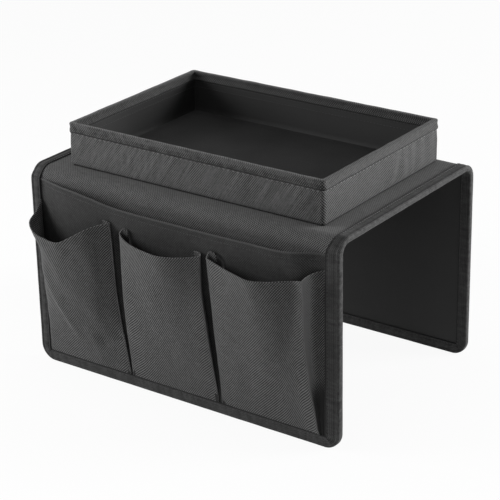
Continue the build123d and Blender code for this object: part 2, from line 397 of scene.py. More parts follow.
@dataclass(frozen=True)
class Saddle:
    """The fabric's line over the arm: flat on top, round the two soft folds and down both sides.

    A point is given by x, by its length s along the outer face from the platform's middle, negative
    towards the front, and by how far t it stands off that face.
    """

    middle: float  # y of the platform's middle
    half_run: float  # half the flat run between the two folds
    top: float  # height of the platform's face
    radius: float  # of the folds' outer face
    foot: float  # height of the panels' lower edge
    half_length: float
    seam_step: float = 0.3 * MM  # a grid's first step past the platform's end
    fold_step: float = 0.9 * MM
    corner_line: float = 13.9 * MM  # from the lower edge to the grid line where the rounded corner starts
    bend_start: Pair = (2 * MM, 2.2 * MM)  # past the platform's end, and below its face
    bend_end: Pair = (9.8 * MM, 10 * MM)

    @classmethod
    def of_frame(cls) -> "Saddle":
        """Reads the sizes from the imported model.

        Returns:
            The saddle.
        """
        top_low, top_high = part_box("top_cover")
        return cls(
            middle=(top_low.y + top_high.y) / 2,
            half_run=(top_high.y - top_low.y) / 2,
            top=top_high.z,
            radius=top_low.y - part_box("front_cover")[0].y,
            foot=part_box("front_binding")[0].z,
            half_length=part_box("front_binding")[1].x,
        )

    @property
    def arc(self) -> float:
        """Length of the outer face round one fold."""
        return self.radius * math.pi / 2

    @property
    def reach(self) -> float:
        """Length from the platform's middle to the lower edge of a panel."""
        return self.half_run + self.arc + self.top - self.radius - self.foot

    @property
    def front_face(self) -> float:
        """Y of the front cover's face."""
        return self.middle - self.half_run - self.radius

    def height(self, s: Any) -> Any:
        """Height of the outer face at a length on a panel, and above the folds the height it would have."""
        return self.top - self.radius - (np.abs(s) - self.half_run - self.arc)

    def place(self, x: Any, s: Any, t: Any) -> np.ndarray:
        """Turns lengths along the fabric into points.

        Args:
            x: places along the arm.
            s: lengths along the outer face.
            t: distances off it.

        Returns:
            The points, with one more axis than the arguments.
        """
        x, s, t = np.broadcast_arrays(x, s, t)
        over = np.abs(s) - self.half_run
        turn = np.clip(over / self.radius, 0, math.pi / 2)
        y = np.sign(s) * (np.minimum(np.abs(s), self.half_run) + (self.radius + t) * np.sin(turn))
        z = self.top - self.radius + (self.radius + t) * np.cos(turn) - np.maximum(over - self.arc, 0)
        return np.stack([x, self.middle + y, z], -1)

    def outward(self, s: Any) -> np.ndarray:
        """Directions straight off the outer face at each length."""
        turn = np.clip((np.abs(s) - self.half_run) / self.radius, 0, math.pi / 2)
        return np.stack([np.zeros_like(turn), np.sign(s) * np.sin(turn), np.cos(turn)], -1)

    def span(self, body: Body) -> Pair:
        """The lengths between which the fabric belongs to a body.

        Args:
            body: the body; a panel's fold is counted with it.

        Returns:
            The lower and the higher length.
        """
        return {
            Body.FRONT: (-self.reach, -self.half_run),
            Body.PLATFORM: (-self.half_run, self.half_run),
            Body.BACK: (self.half_run, self.reach),
        }[body]

    def steps(self, body: Body, inset: float, step: float) -> np.ndarray:
        """Lengths for a grid's lines over a body's span, close together round its fold.

        Args:
            body: the body.
            inset: how far the cloth stops short of the lower edge.
            step: the widest distance between two lines away from the fold.

        Returns:
            The lengths, rising.
        """
        if body is Body.PLATFORM:
            return gathered_steps([-self.half_run, self.half_run], step)
        near, far = self.half_run, self.half_run + self.arc
        fold = gathered_steps([near, near + self.seam_step, far], self.fold_step)
        leg = gathered_steps([far, self.reach - self.corner_line, self.reach - inset], step)
        whole = np.concatenate([fold, leg[1:]])
        return whole if body is Body.BACK else -whole[::-1]

    def hang(self, piece: bpy.types.Object, body: Body) -> None:
        """Makes a platform piece move with its body; a panel's piece only gets its place baked into its mesh.

        Args:
            piece: the piece.
            body: its body.
        """
        if body is Body.PLATFORM:
            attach(piece, body.value)
            return
        sign = -1 if body is Body.FRONT else 1
        start, end = (
            (0, self.middle + sign * (self.half_run + past), self.top - below)
            for past, below in (self.bend_start, self.bend_end)
        )
        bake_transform(piece)


def finish_piece(piece: bpy.types.Object, finish: bpy.types.Material, nodes: Sequence[str] = ()) -> None:
    """Dresses a piece and says which nodes of the model it stands for.

    Args:
        piece: the new piece.
        finish: its material.
        nodes: the nodes that it replaces.
    """
    piece.data.materials.append(finish)
    if nodes:
        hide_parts(*nodes)
    LOG.info("%s: %d faces, for %s", piece.name, len(piece.data.polygons), ", ".join(nodes) or "no node")


# ---- finishes


def grey(value: float) -> Triple:
    """A colour without any hue."""
    return value, value, value


class Wire:
    """A number that runs through a material, with sums on it written as Python."""

    def __init__(self, board: "NodeBoard", socket: bpy.types.NodeSocket) -> None:
        """Keeps the socket and the board that it is on."""
        self.board = board
        self.socket = socket

    def _sum(self, operation: str, *terms: Any) -> "Wire":
        """Adds one Math node.

        Args:
            operation: the node's operation.
            terms: its inputs, wires or numbers.

        Returns:
            The result's wire.
        """
        node = self.board.node("ShaderNodeMath", dict(enumerate(terms)), operation=operation)
        return Wire(self.board, node.outputs[0])

    def __add__(self, other: Any) -> "Wire":
        """The sum."""
        return self._sum("ADD", self, other)

    def __radd__(self, other: Any) -> "Wire":
        """The sum."""
        return self._sum("ADD", other, self)

    def __sub__(self, other: Any) -> "Wire":
        """The difference."""
        return self._sum("SUBTRACT", self, other)

    def __rsub__(self, other: Any) -> "Wire":
        """The difference, the other way round."""
        return self._sum("SUBTRACT", other, self)

    def __mul__(self, other: Any) -> "Wire":
        """The product."""
        return self._sum("MULTIPLY", self, other)

    def __rmul__(self, other: Any) -> "Wire":
        """The product."""
        return self._sum("MULTIPLY", other, self)

    def cosine(self) -> "Wire":
        """The cosine of an angle in radians."""
        return self._sum("COSINE", self)

    def eased(self, low: float, high: float) -> "Wire":
        """Rises smoothly from 0 to 1 while the number goes from low to high.

        Args:
            low: where the rise starts.
            high: where it ends.

        Returns:
            The share's wire.
        """
        node = self.board.node(
            "ShaderNodeMapRange",
            {"Value": self, "From Min": low, "From Max": high, "To Min": 0.0, "To Max": 1.0},
            interpolation_type="SMOOTHSTEP", clamp=True,
        )
        return Wire(self.board, node.outputs["Result"])

    def beyond(self, near: float, far: float) -> "Wire":
        """Rises smoothly from 0 to 1 while a length, on either side of zero, goes from near to far."""
        return (self * self * SQUARE_MM).eased(near * near * SQUARE_MM, far * far * SQUARE_MM)

    def waves(self, pitch: float) -> "Wire":
        """Even waves between 0 and 1, one to each pitch."""
        return (self * (2 * math.pi / pitch)).cosine() * 0.5 + 0.5


class NodeBoard:
    """The nodes of one material, or of the world."""

    def __init__(self, name: str, owner: Any = None) -> None:
        """Empties the node tree of the owner, or of a new material of that name.

        Args:
            name: the new material's name.
            owner: what has the node tree, if it isn't a new material.
        """
        self.material = owner or bpy.data.materials.new(name)
        self.material.use_nodes = True
        self.tree = self.material.node_tree
        self.tree.nodes.clear()

    def node(self, kind: str, inputs: Optional[dict] = None, **settings: Any) -> bpy.types.Node:
        """Adds a node.

        Args:
            kind: its Blender type.
            inputs: a wire, a socket or a value for each input, by name or number.
            settings: what is set on the node itself, before its inputs.

        Returns:
            The node.
        """
        made = self.tree.nodes.new(kind)
        for key, value in settings.items():
            setattr(made, key, value)
        for key, value in (inputs or {}).items():
            if isinstance(value, Wire):
                value = value.socket
            if isinstance(value, bpy.types.NodeSocket):
                self.tree.links.new(value, made.inputs[key])
            else:
                made.inputs[key].default_value = value
        return made

    def lengths(self) -> tuple[bpy.types.NodeSocket, Wire, Wire]:
        """Reads the map of lengths along the cloth.

        Returns:
            The map as a whole, and its two numbers.
        """
        whole = self.node("ShaderNodeUVMap", uv_map=WEAVE_MAP).outputs["UV"]
        parts = self.node("ShaderNodeSeparateXYZ", {0: whole})
        return whole, Wire(self, parts.outputs[0]), Wire(self, parts.outputs[1])

    def noise(
        self, place: bpy.types.NodeSocket, scale: float, detail: float = 2.0, stretch: Sequence[float] = (1, 1, 1)
    ) -> Wire:
        """Smooth noise from 0 to 1.

        Args:
            place: the coordinates.
            scale: cells per metre.
            detail: how many finer layers are added.
            stretch: a factor on the scale in each direction.

        Returns:
            The noise's wire.
        """
        stretched = self.node("ShaderNodeVectorMath", {0: place, 1: tuple(stretch)}, operation="MULTIPLY")
        made = self.node(
            "ShaderNodeTexNoise",
            {"Vector": stretched.outputs[0], "Scale": scale, "Detail": detail, "Roughness": 0.55},
            noise_dimensions="3D",
        )
        return Wire(self, made.outputs[0])

    def slanted(self, u: Wire, v: Wire) -> bpy.types.NodeSocket:
        """Coordinates for noise from two wires."""
        return self.node("ShaderNodeCombineXYZ", {0: u, 1: v}).outputs[0]

    def blend(self, share: Any, low: Sequence[float], high: Sequence[float]) -> bpy.types.NodeSocket:
        """A colour between two colours.

        Args:
            share: 0 for the first, 1 for the second.
            low: the first colour.
            high: the second colour.

        Returns:
            The colour's socket; a mix node keeps its two colours on its sockets 6 and 7.
        """
        colours = {0: share, 6: (*low, 1.0), 7: (*high, 1.0)}
        return self.node("ShaderNodeMix", colours, data_type="RGBA", clamp_factor=True).outputs[2]

    def finish(
        self, colour: Any, roughness: Any, height: Wire, relief: float, strength: float = 1.0, **fixed: Any
    ) -> bpy.types.Material:
        """Puts the cloth's surface together.

        Args:
            colour: the base colour's socket.
            roughness: its wire.
            height: the surface's height from 0 to 1.
            relief: how deep that height is, in metres.
            strength: how strongly it shows.
            fixed: other sockets of the shader that are the same all over.

        Returns:
            The material.
        """
        bump = self.node("ShaderNodeBump", {"Strength": strength, "Distance": relief, "Height": height})
        sockets = {key.replace("_", " "): value for key, value in fixed.items()}
        sockets |= {"Base Color": colour, "Roughness": roughness, "Normal": bump.outputs[0]}
        shader = self.node("ShaderNodeBsdfPrincipled", sockets)
        self.node("ShaderNodeOutputMaterial", {"Surface": shader.outputs[0]})
        return self.material


@dataclass(frozen=True)
class Tucks:
    """Painted shade and a painted highlight at a pocket's two ends: where its cloth turns in, as places across its
    map, and how dark the painted shade is in there.
    """

    left: float
    right: float
    side_seen: bool = False  # the right-hand end faces sideways: a painted highlight along its pressed edge, painted shade in the corner
    turned: float = 0.0  # painted shade before the right edge, where the cloth faces away from the light a little
    closed_below: Pair = (38 * MM, 62 * MM)  # heights between which the side that is seen closes up; painted shade below them
    lit_above: Pair = (133 * MM, 143 * MM)  # heights between which light gets in from the mouth
    lit: float = 0.8  # share of the painted shade that is gone there
    # strengths of the painted shade in the tucks, of the painted highlight on the pressed edge and of the painted
    # shade in the corner
    dark: float = 0.9
    pale: float = 1.3
    corner_dark: float = 0.35

    def shade(self, across: Wire, along: Wire) -> Wire:
        """The change of shade: painted shade in the tucks and the corner, a painted highlight along a pressed edge.

        Args:
            across: the map's first number.
            along: the map's second number, the height.

        Returns:
            Its wire, below 0 where shade is painted.
        """

        def past(edge: float, near: float, far: float) -> Wire:
            """Rises from 0 to 1 between two distances from an edge, in millimetres."""
            return across.eased(edge + near * MM, edge + far * MM)

        deep = 1 - along.eased(*self.lit_above) * self.lit
        first = (1 - past(self.left, -3, -0.5)) * deep
        last = past(self.right, 0.5, 2.5) * deep
        if not self.side_seen:
            return (first + last) * -self.dark + past(self.right, -36, -20) * self.turned
        closed = 1 - along.eased(*self.closed_below)
        # painted highlight along the pressed edge, painted shade in the corner and down in the tucks
        pressed = past(self.right, -0.8, 0.2) * (1 - past(self.right, 1, 12)) * (1 - closed)
        corner = past(self.right, 6, 16)
        return pressed * self.pale - corner * self.corner_dark - first * self.dark - last * closed


@dataclass(frozen=True)
class FrontSide:
    """Painted light along the tray's front on a band of cloth round the tray, where it is drawn in by its sewing:
    lighter towards the left where more light falls, a painted highlight on the hem's fold, and the painted shade and
    highlights of fine gathers.
    """

    left: float  # change of painted light at the left end
    right: float  # change of painted light at the right end
    crest_highlight: float = 0.0  # painted highlight on the hem's fold
    drawn: float = 0.0  # strength of the painted shade and highlights of fine slanted gathers
    blotched: float = 0.0  # strength of dark patches a centimetre wide
    start: float = 170 * MM  # along the map
    stop: float = 418 * MM
    margin: float = 4 * MM
    fold: Pair = (4.4 * MM, 6.2 * MM)  # from the middle of the hem's fold
    slant: Pair = (0.62, 0.10)  # how far the gathers lean, and how slowly they change along their run
    gathers: float = 330  # in a metre
    blotches: float = 105  # in a metre
    blotch_edge: Pair = (0.46, 0.68)  # heights of the noise between which a patch begins
    blotch_length: float = 1.6  # across the front, over its height

    def shade(self, board: "NodeBoard", across: Wire, along: Wire) -> Wire:
        """The change of shade, painted light and shade along the front.

        Args:
            board: the material's board.
            across: the map's first number, the length round the tray.
            along: the map's second number.

        Returns:
            Its wire.
        """
        begin = across.eased(self.start - self.margin, self.start + self.margin)
        end = across.eased(self.stop - self.margin, self.stop + self.margin)
        rise = (self.right - self.left) / (self.stop - self.start)
        # painted light, falling off from the left end to the right
        change = across * rise + (self.left - self.start * rise)
        if self.crest_highlight:
            change = change + (1 - along.beyond(*self.fold)) * self.crest_highlight
        # painted shade and highlights of the fine gathers
        if self.drawn:
            lean, slow = self.slant
            gathers = board.noise(board.slanted(across + along * lean, along * slow), self.gathers, 1)
            change = change + (gathers - 0.5) * self.drawn
        if self.blotched:
            blotches = board.noise(board.slanted(across, along * self.blotch_length), self.blotches, 1)
            change = change - blotches.eased(*self.blotch_edge) * self.blotched
        return (begin - end) * change


@dataclass(frozen=True)
class WovenCloth:
    """Plain-woven matt polyester: every second crossing stands up as a small pale dot.

    The shares say how strongly each thing changes the shade, where 0 is the dark colour and 1 the pale one.
    """

    name: str
    pale: Triple = grey(0.140)
    dark: Triple = grey(0.007)
    warp: float = 0.95 * MM
    weft: float = 1.15 * MM
    wander: float = 1.1  # how far the threads stray, in radians of the weave
    lean: float = 0.66  # share of the falling diagonals, 0.5 for an even dot
    base: float = 0.42
    contrast: float = 1.85
    slubbed: float = 0.9
    fibrous: float = 0.35
    mottled: float = 0.25
    linty: float = 0.2
    seam: Triple = (1.0, 2.0, 0.0)  # from where to where across the map the shade changes, how much; paints a shadow line or a highlight band along an edge
    inner: float = 0.0  # painted shade inside the tray, where the hem's second number is above 0
    relief: float = 0.16 * MM
    tucks: Optional[Tucks] = None
    front: Optional[FrontSide] = None

    def make(self) -> bpy.types.Material:
        """Builds the material.

        Returns:
            The material.
        """
        board = NodeBoard(self.name)
        place, across, along = board.lengths()
        stray = board.noise(place, 60, 1) - 0.5
        drift = board.noise(place, 45, 1, (1.0, 1.3, 1.0)) - 0.5
        warp = across * (math.pi / self.warp) + stray * self.wander
        weft = along * (math.pi / self.weft) + drift * self.wander
        falling, rising = (warp - weft).cosine(), (warp + weft).cosine()
        dots = (falling * self.lean - rising * (1 - self.lean)) * 0.5 + 0.5
        slub = board.noise(place, 420, 2, (0.35, 1.0, 1.0)) * 0.5 + board.noise(place, 420, 2, (1.0, 0.35, 1.0)) * 0.5
        fibre = board.noise(place, 1500, 2)
        mottle = board.noise(place, 22, 3)
        lint = board.noise(place, 520, 1).eased(0.70, 0.80)
        patch = board.noise(place, 38, 2) * 0.8 + 0.6
        shade = (dots - 0.5) * patch * self.contrast + (slub - 0.5) * self.slubbed + (fibre - 0.5) * self.fibrous
        shade = shade + (mottle - 0.5) * self.mottled + lint * self.linty
        # painted shadow lines, painted highlight bands, and painted shade inside the tray, in the tucks and along the
        # front
        shade = shade + along.beyond(*self.seam[:2]) * self.seam[2]
        if self.inner:
            shade = shade + along.eased(0.0, 2 * MM) * self.inner
        if self.tucks:
            shade = shade + self.tucks.shade(across, along)
        if self.front:
            shade = shade + self.front.shade(board, across, along)
        return board.finish(
            board.blend(shade + self.base, self.dark, self.pale), 0.93 - dots * 0.12, dots * 0.75 + fibre * 0.25,
            self.relief, 0.7, Specular_IOR_Level=0.28, Sheen_Weight=0.12, Sheen_Roughness=0.5, Sheen_Tint=SHEEN,
        )


@dataclass(frozen=True)
class BindingTape:
    """Narrow twill tape: fine ribs on a slant, a little darker and smoother than the cloth, with a painted shadow
    line along its inner edges and a painted highlight on its fold.
    """

    name: str
    pale: Triple = grey(0.066)
    dark: Triple = grey(0.006)
    rib: float = 1.05 * MM
    slant: float = 0.6
    cross: float = 1.2  # distance of the cross threads, in ribs
    selvedge: Pair = (10.35 * MM, 10.85 * MM)  # painted shadow line along the inner edges, from the middle of the fold, where the tape ends at 12
    # the fold, left paler than the flat faces as a painted highlight
    fold: Pair = (2.2 * MM, 3.2 * MM)
    dimmed: Triple = (5.0, 6.0, 0.0)  # painted shade: from where to where along it the shade changes, how much
    base: float = 0.07
    contrast: float = 1.1
    fibrous: float = 0.7
    slubbed: float = 1.3
    mottled: float = 0.5
    speckled: float = 1.9  # on the fold, where it rubs
    # strength of the painted shadow line, and how much darker the flat faces are than the painted highlight on the
    # fold
    edge_shadow_strength: float = 1.3
    flat_dark: float = 0.22

    def make(self) -> bpy.types.Material:
        """Builds the material.

        Returns:
            The material.
        """
        board = NodeBoard(self.name)
        place, across, along = board.lengths()
        wander = board.noise(place, 70, 1) - 0.5
        turn = (across + along * self.slant) * (2 * math.pi / self.rib) + wander * 1.6
        weave = (turn.cosine() * 0.5 + 0.5) * 0.65 + along.waves(self.rib * self.cross) * 0.35
        fibre = board.noise(place, 1300, 2)
        slub = board.noise(place, 300, 2, (1.0, 0.3, 1.0))
        mottle = board.noise(place, 35, 3)
        speckle = board.noise(place, 420, 2, (0.55, 1.0, 1.0))
        flat = along.beyond(*self.fold)
        shade = weave * self.contrast + (fibre - 0.5) * self.fibrous + (slub - 0.5) * self.slubbed
        shade = shade + (mottle - 0.5) * self.mottled + (1 - flat) * (speckle - 0.5) * self.speckled
        # painted shadow line at the inner edges, painted highlight on the fold, painted shade along the chosen run
        shade = shade - along.beyond(*self.selvedge) * self.edge_shadow_strength - flat * self.flat_dark
        shade = shade + across.eased(*self.dimmed[:2]) * self.dimmed[2]
        return board.finish(
            board.blend(shade + self.base, self.dark, self.pale), 0.86 - weave * 0.12, weave * 0.7 + fibre * 0.3,
            0.10 * MM, 0.6, Specular_IOR_Level=0.32, Sheen_Weight=0.1, Sheen_Roughness=0.5, Sheen_Tint=SHEEN,
        )


@dataclass(frozen=True)
class SmoothLining:
    """Tight, smooth, near-black lining cloth with a faint gloss and soft creases, paler towards both ends as painted
    light, its soft mottling partly painted sheen.
    """

    name: str
    pale: Triple = grey(0.021)
    dark: Triple = grey(0.008)
    thread: float = 0.42 * MM
    ends: Pair = (75 * MM, 145 * MM)  # from the middle; painted light, paler towards the ends where light gets in

    def make(self) -> bpy.types.Material:
        """Builds the material.

        Returns:
            The material.
        """
        board = NodeBoard(self.name)
        place, across, along = board.lengths()
        turn = 2 * math.pi / self.thread
        threads = (across * turn).cosine() * (along * turn).cosine() * 0.5 + 0.5
        mottle = board.noise(place, 13, 3)
        crease = board.noise(place, 30, 2, (1.0, 0.35, 1.0))
        fibre = board.noise(place, 900, 2)
        # painted light towards both ends; the mottling is partly painted sheen
        shade = threads * 0.35 + (fibre - 0.5) * 0.5 + (mottle - 0.5) * 1.5 + 0.05 + across.beyond(*self.ends) * 0.75
        return board.finish(
            board.blend(shade, self.dark, self.pale), 0.62 + (mottle - 0.5) * 0.15 + threads * 0.08,
            crease * 0.75 + threads * 0.1 + fibre * 0.15, 0.35 * MM, 0.6, Specular_IOR_Level=0.3,
        )


@dataclass(frozen=True)
class SewingThread:
    """Twisted polyester thread."""

    name: str
    pale: Triple = grey(0.27)
    dark: Triple = grey(0.12)
    twist: float = 0.35 * MM

    def make(self) -> bpy.types.Material:
        """Builds the material.

        Returns:
            The material.
        """
        board = NodeBoard(self.name)
        place, across, along = board.lengths()
        twist = (across + along).waves(self.twist)
        fibre = board.noise(place, 2500, 1)
        colour = board.blend(twist * 0.7 + (fibre - 0.5) * 0.6 + 0.1, self.dark, self.pale)
        return board.finish(colour, 0.62 + fibre * 0.2, twist, 0.05 * MM, 0.6, Specular_IOR_Level=0.4)


@dataclass(frozen=True)
class GreyBoard:
    """Pressed grey-brown board with short fibres, inside the fabric."""

    name: str
    pale: Triple = (0.37, 0.32, 0.25)
    dark: Triple = (0.25, 0.21, 0.165)

    def make(self) -> bpy.types.Material:
        """Builds the material.

        Returns:
            The material.
        """
        board = NodeBoard(self.name)
        place = board.node("ShaderNodeTexCoord").outputs["Object"]
        pulp = board.noise(place, 120, 4)
        fibre = board.noise(place, 700, 3, (1.0, 0.25, 1.0))
        fleck = board.noise(place, 420, 1).eased(0.66, 0.74)
        colour = board.blend(pulp * 0.6 + fibre * 0.5 - fleck * 0.35, self.dark, self.pale)
        return board.finish(colour, 0.82 + fibre * 0.12, fibre * 0.6 + pulp * 0.4, 0.12 * MM, 0.5)


@dataclass(frozen=True)
class Wardrobe:
    """All finishes, each made once."""

    cloth: bpy.types.Material
    wall: bpy.types.Material
    hem: bpy.types.Material
    pocket_back: bpy.types.Material
    tape: bpy.types.Material
    platform_tape: bpy.types.Material
    front_tape: bpy.types.Material
    lining: bpy.types.Material
    tray_lining: bpy.types.Material
    thread: bpy.types.Material
    dark_thread: bpy.types.Material
    board: bpy.types.Material

    @classmethod
    def stocked(cls) -> "Wardrobe":
        """Makes the finishes.

        Returns:
            All of them.
        """
        return cls(
            cloth=WovenCloth("woven_cloth").make(),
            # a painted shadow line at the walls' foot, where they meet the platform, and painted light along the
            # front
            wall=WovenCloth(
                "wall_cloth", seam=(34.3 * MM, 35 * MM, -1.3), front=FrontSide(0.15, -0.05, drawn=1.05),
            ).make(),
            # painted shadow lines under the hem's edges, painted shade on its inner side, and painted light along the
            # front
            hem=WovenCloth(
                "hem_cloth", pale=grey(0.122), lean=0.5, seam=(8.3 * MM, 8.8 * MM, -1.2), inner=-0.2,
                front=FrontSide(-0.12, -0.22, crest_highlight=0.34, drawn=0.75, blotched=0.34),
            ).make(),
            # darker than the cloth, partly its own tone and partly painted shade behind the small pockets; its lip is
            # left paler as a painted highlight
            pocket_back=WovenCloth(
                "magazine_cloth", pale=grey(0.060), dark=grey(0.008), contrast=1.0, base=0.85,
                seam=(0.9 * MM, 1.5 * MM, -0.55), relief=0.08 * MM,
            ).make(),
            tape=BindingTape("binding_tape").make(),
            platform_tape=BindingTape("platform_tape", pale=grey(0.057)).make(),
            # painted shade towards the right end, where the panel's tape gets less light
            front_tape=BindingTape("front_tape", dimmed=(470 * MM, 510 * MM, -0.24)).make(),
            lining=SmoothLining("smooth_lining").make(),
            # a paler copy of the lining: painted light inside the tray
            tray_lining=SmoothLining("tray_lining", pale=grey(0.030), dark=grey(0.012)).make(),
            thread=SewingThread("pale_thread").make(),
            # a darker copy of the thread, painted shade for stitches that catch little light
            dark_thread=SewingThread("dark_thread", pale=grey(0.085), dark=grey(0.030)).make(),
            board=GreyBoard("grey_board").make(),
        )


# ---- cover and lining


@dataclass
class Covering:
    """The cover outside and the lining inside the boards of the platform and both side panels."""

    saddle: Saddle
    wardrobe: Wardrobe
    inset: float = 0.6 * MM
    cover_ply: float = 0.6 * MM
    lining_ply: float = 0.5 * MM
    depth: float = 3.6 * MM  # from the cover's face to the lining's face
    corner: float = 14 * MM
    step: float = 3 * MM
    tape_line: float = 0.935  # share of the half length where the grid has a line along the tape
    slack: float = 0.28 * MM  # how far the cloth stands up at most
    taped: Pair = (10 * MM, 14 * MM)  # width under the tape, and that over which the slack grows
    creased: float = 0.10 * MM  # depth of the creases on the folds

    def grid(self, body: Body) -> tuple[np.ndarray, np.ndarray]:
        """A body's grid, narrowed at the rounded lower corners.

        Args:
            body: the body.

        Returns:
            The lengths x and s of its points.
        """
        s = self.saddle.steps(body, self.inset, self.step)
        inner = self.corner - self.inset
        hair = 1e-5  # keeps the last line off the corner's vertical tangent
        far = np.clip(np.abs(s) - (self.saddle.reach - self.corner), 0, inner - hair)
        half = self.saddle.half_length - self.corner + np.sqrt(inner**2 - far**2)
        share = gathered_steps([-1, -self.tape_line, self.tape_line, 1], self.step / self.saddle.half_length)
        return share[:, None] * half[None, :], np.broadcast_to(s, (len(share), len(s)))

    def settle(self, x: np.ndarray, s: np.ndarray, seed: int) -> np.ndarray:
        """How far the cloth stands up in soft uneven waves, down to nothing under the tape.

        Args:
            x: first length of each point.
            s: second length of each point.
            seed: picks the waves.

        Returns:
            The heights.
        """
        under, fade = self.taped
        edge = np.minimum(self.saddle.half_length - np.abs(x), self.saddle.reach - np.abs(s))
        slow = 0.5 + 0.5 * sway(x, s, 60 * MM, seed)
        return self.slack * slow * ease((edge - under) / fade)

    def gathers(self, x: np.ndarray, s: np.ndarray) -> np.ndarray:
        """Fine short creases across the soft folds, where the cloth has nothing stiff behind it.

        Args:
            x: first length of each point.
            s: second length of each point.

        Returns:
            The heights.
        """
        middle, spread, stretch = 0.55, 0.55, 0.12
        over = (np.abs(s) - self.saddle.half_run) / self.saddle.arc
        across = self.creased * (0.5 + 0.5 * sway(x, s * stretch, 9 * MM, 31))
        return across * bell(over - middle, spread)

    def lay(self, body: Body, lining: bool) -> None:
        """Lays and dresses the cover or the lining of one body.

        Args:
            body: the body that it belongs to.
            lining: the inner sheet instead of the outer one.
        """
        x, s = self.grid(body)
        if lining:
            word, slot, finish, way, ply = "lining", "lining", self.wardrobe.lining, -1, -self.lining_ply
            stand = -self.depth - self.settle(x, s, 12) * 0.8
        else:
            word, slot, finish, way, ply = "cover", "woven_fabric", self.wardrobe.cloth, 1, self.cover_ply
            stand = self.settle(x, s, 11) + self.gathers(x, s)
        layers = self.saddle.place(x, s, stand), self.saddle.place(x, s, stand - ply), length_map(x, s)
        piece = Cloth(f"{body.word}_{word}_sheet").sheet(*(layer[::way] for layer in layers))
        nodes = [f"{body.node_word}_{word}"]
        if body is not Body.PLATFORM:
            nodes.append(f"{body.node_word}_fold_{word}")
        finish_piece(piece, finish, nodes)
        low, high = self.saddle.span(body)
        flat = (2 * (self.saddle.half_length - self.inset), high - low)
        self.saddle.hang(piece, body)

    def build(self) -> None:
        """Lays all six sheets."""
        for body in Body:
            for lining in (False, True):
                self.lay(body, lining)


# ---- edge tape


@dataclass(frozen=True)
class Station:
    """One place along the tape's line: where its outer edge is, where its inner edge is, how mitred."""

    outer: Pair
    inner: Pair
    mitre: float = 0.0


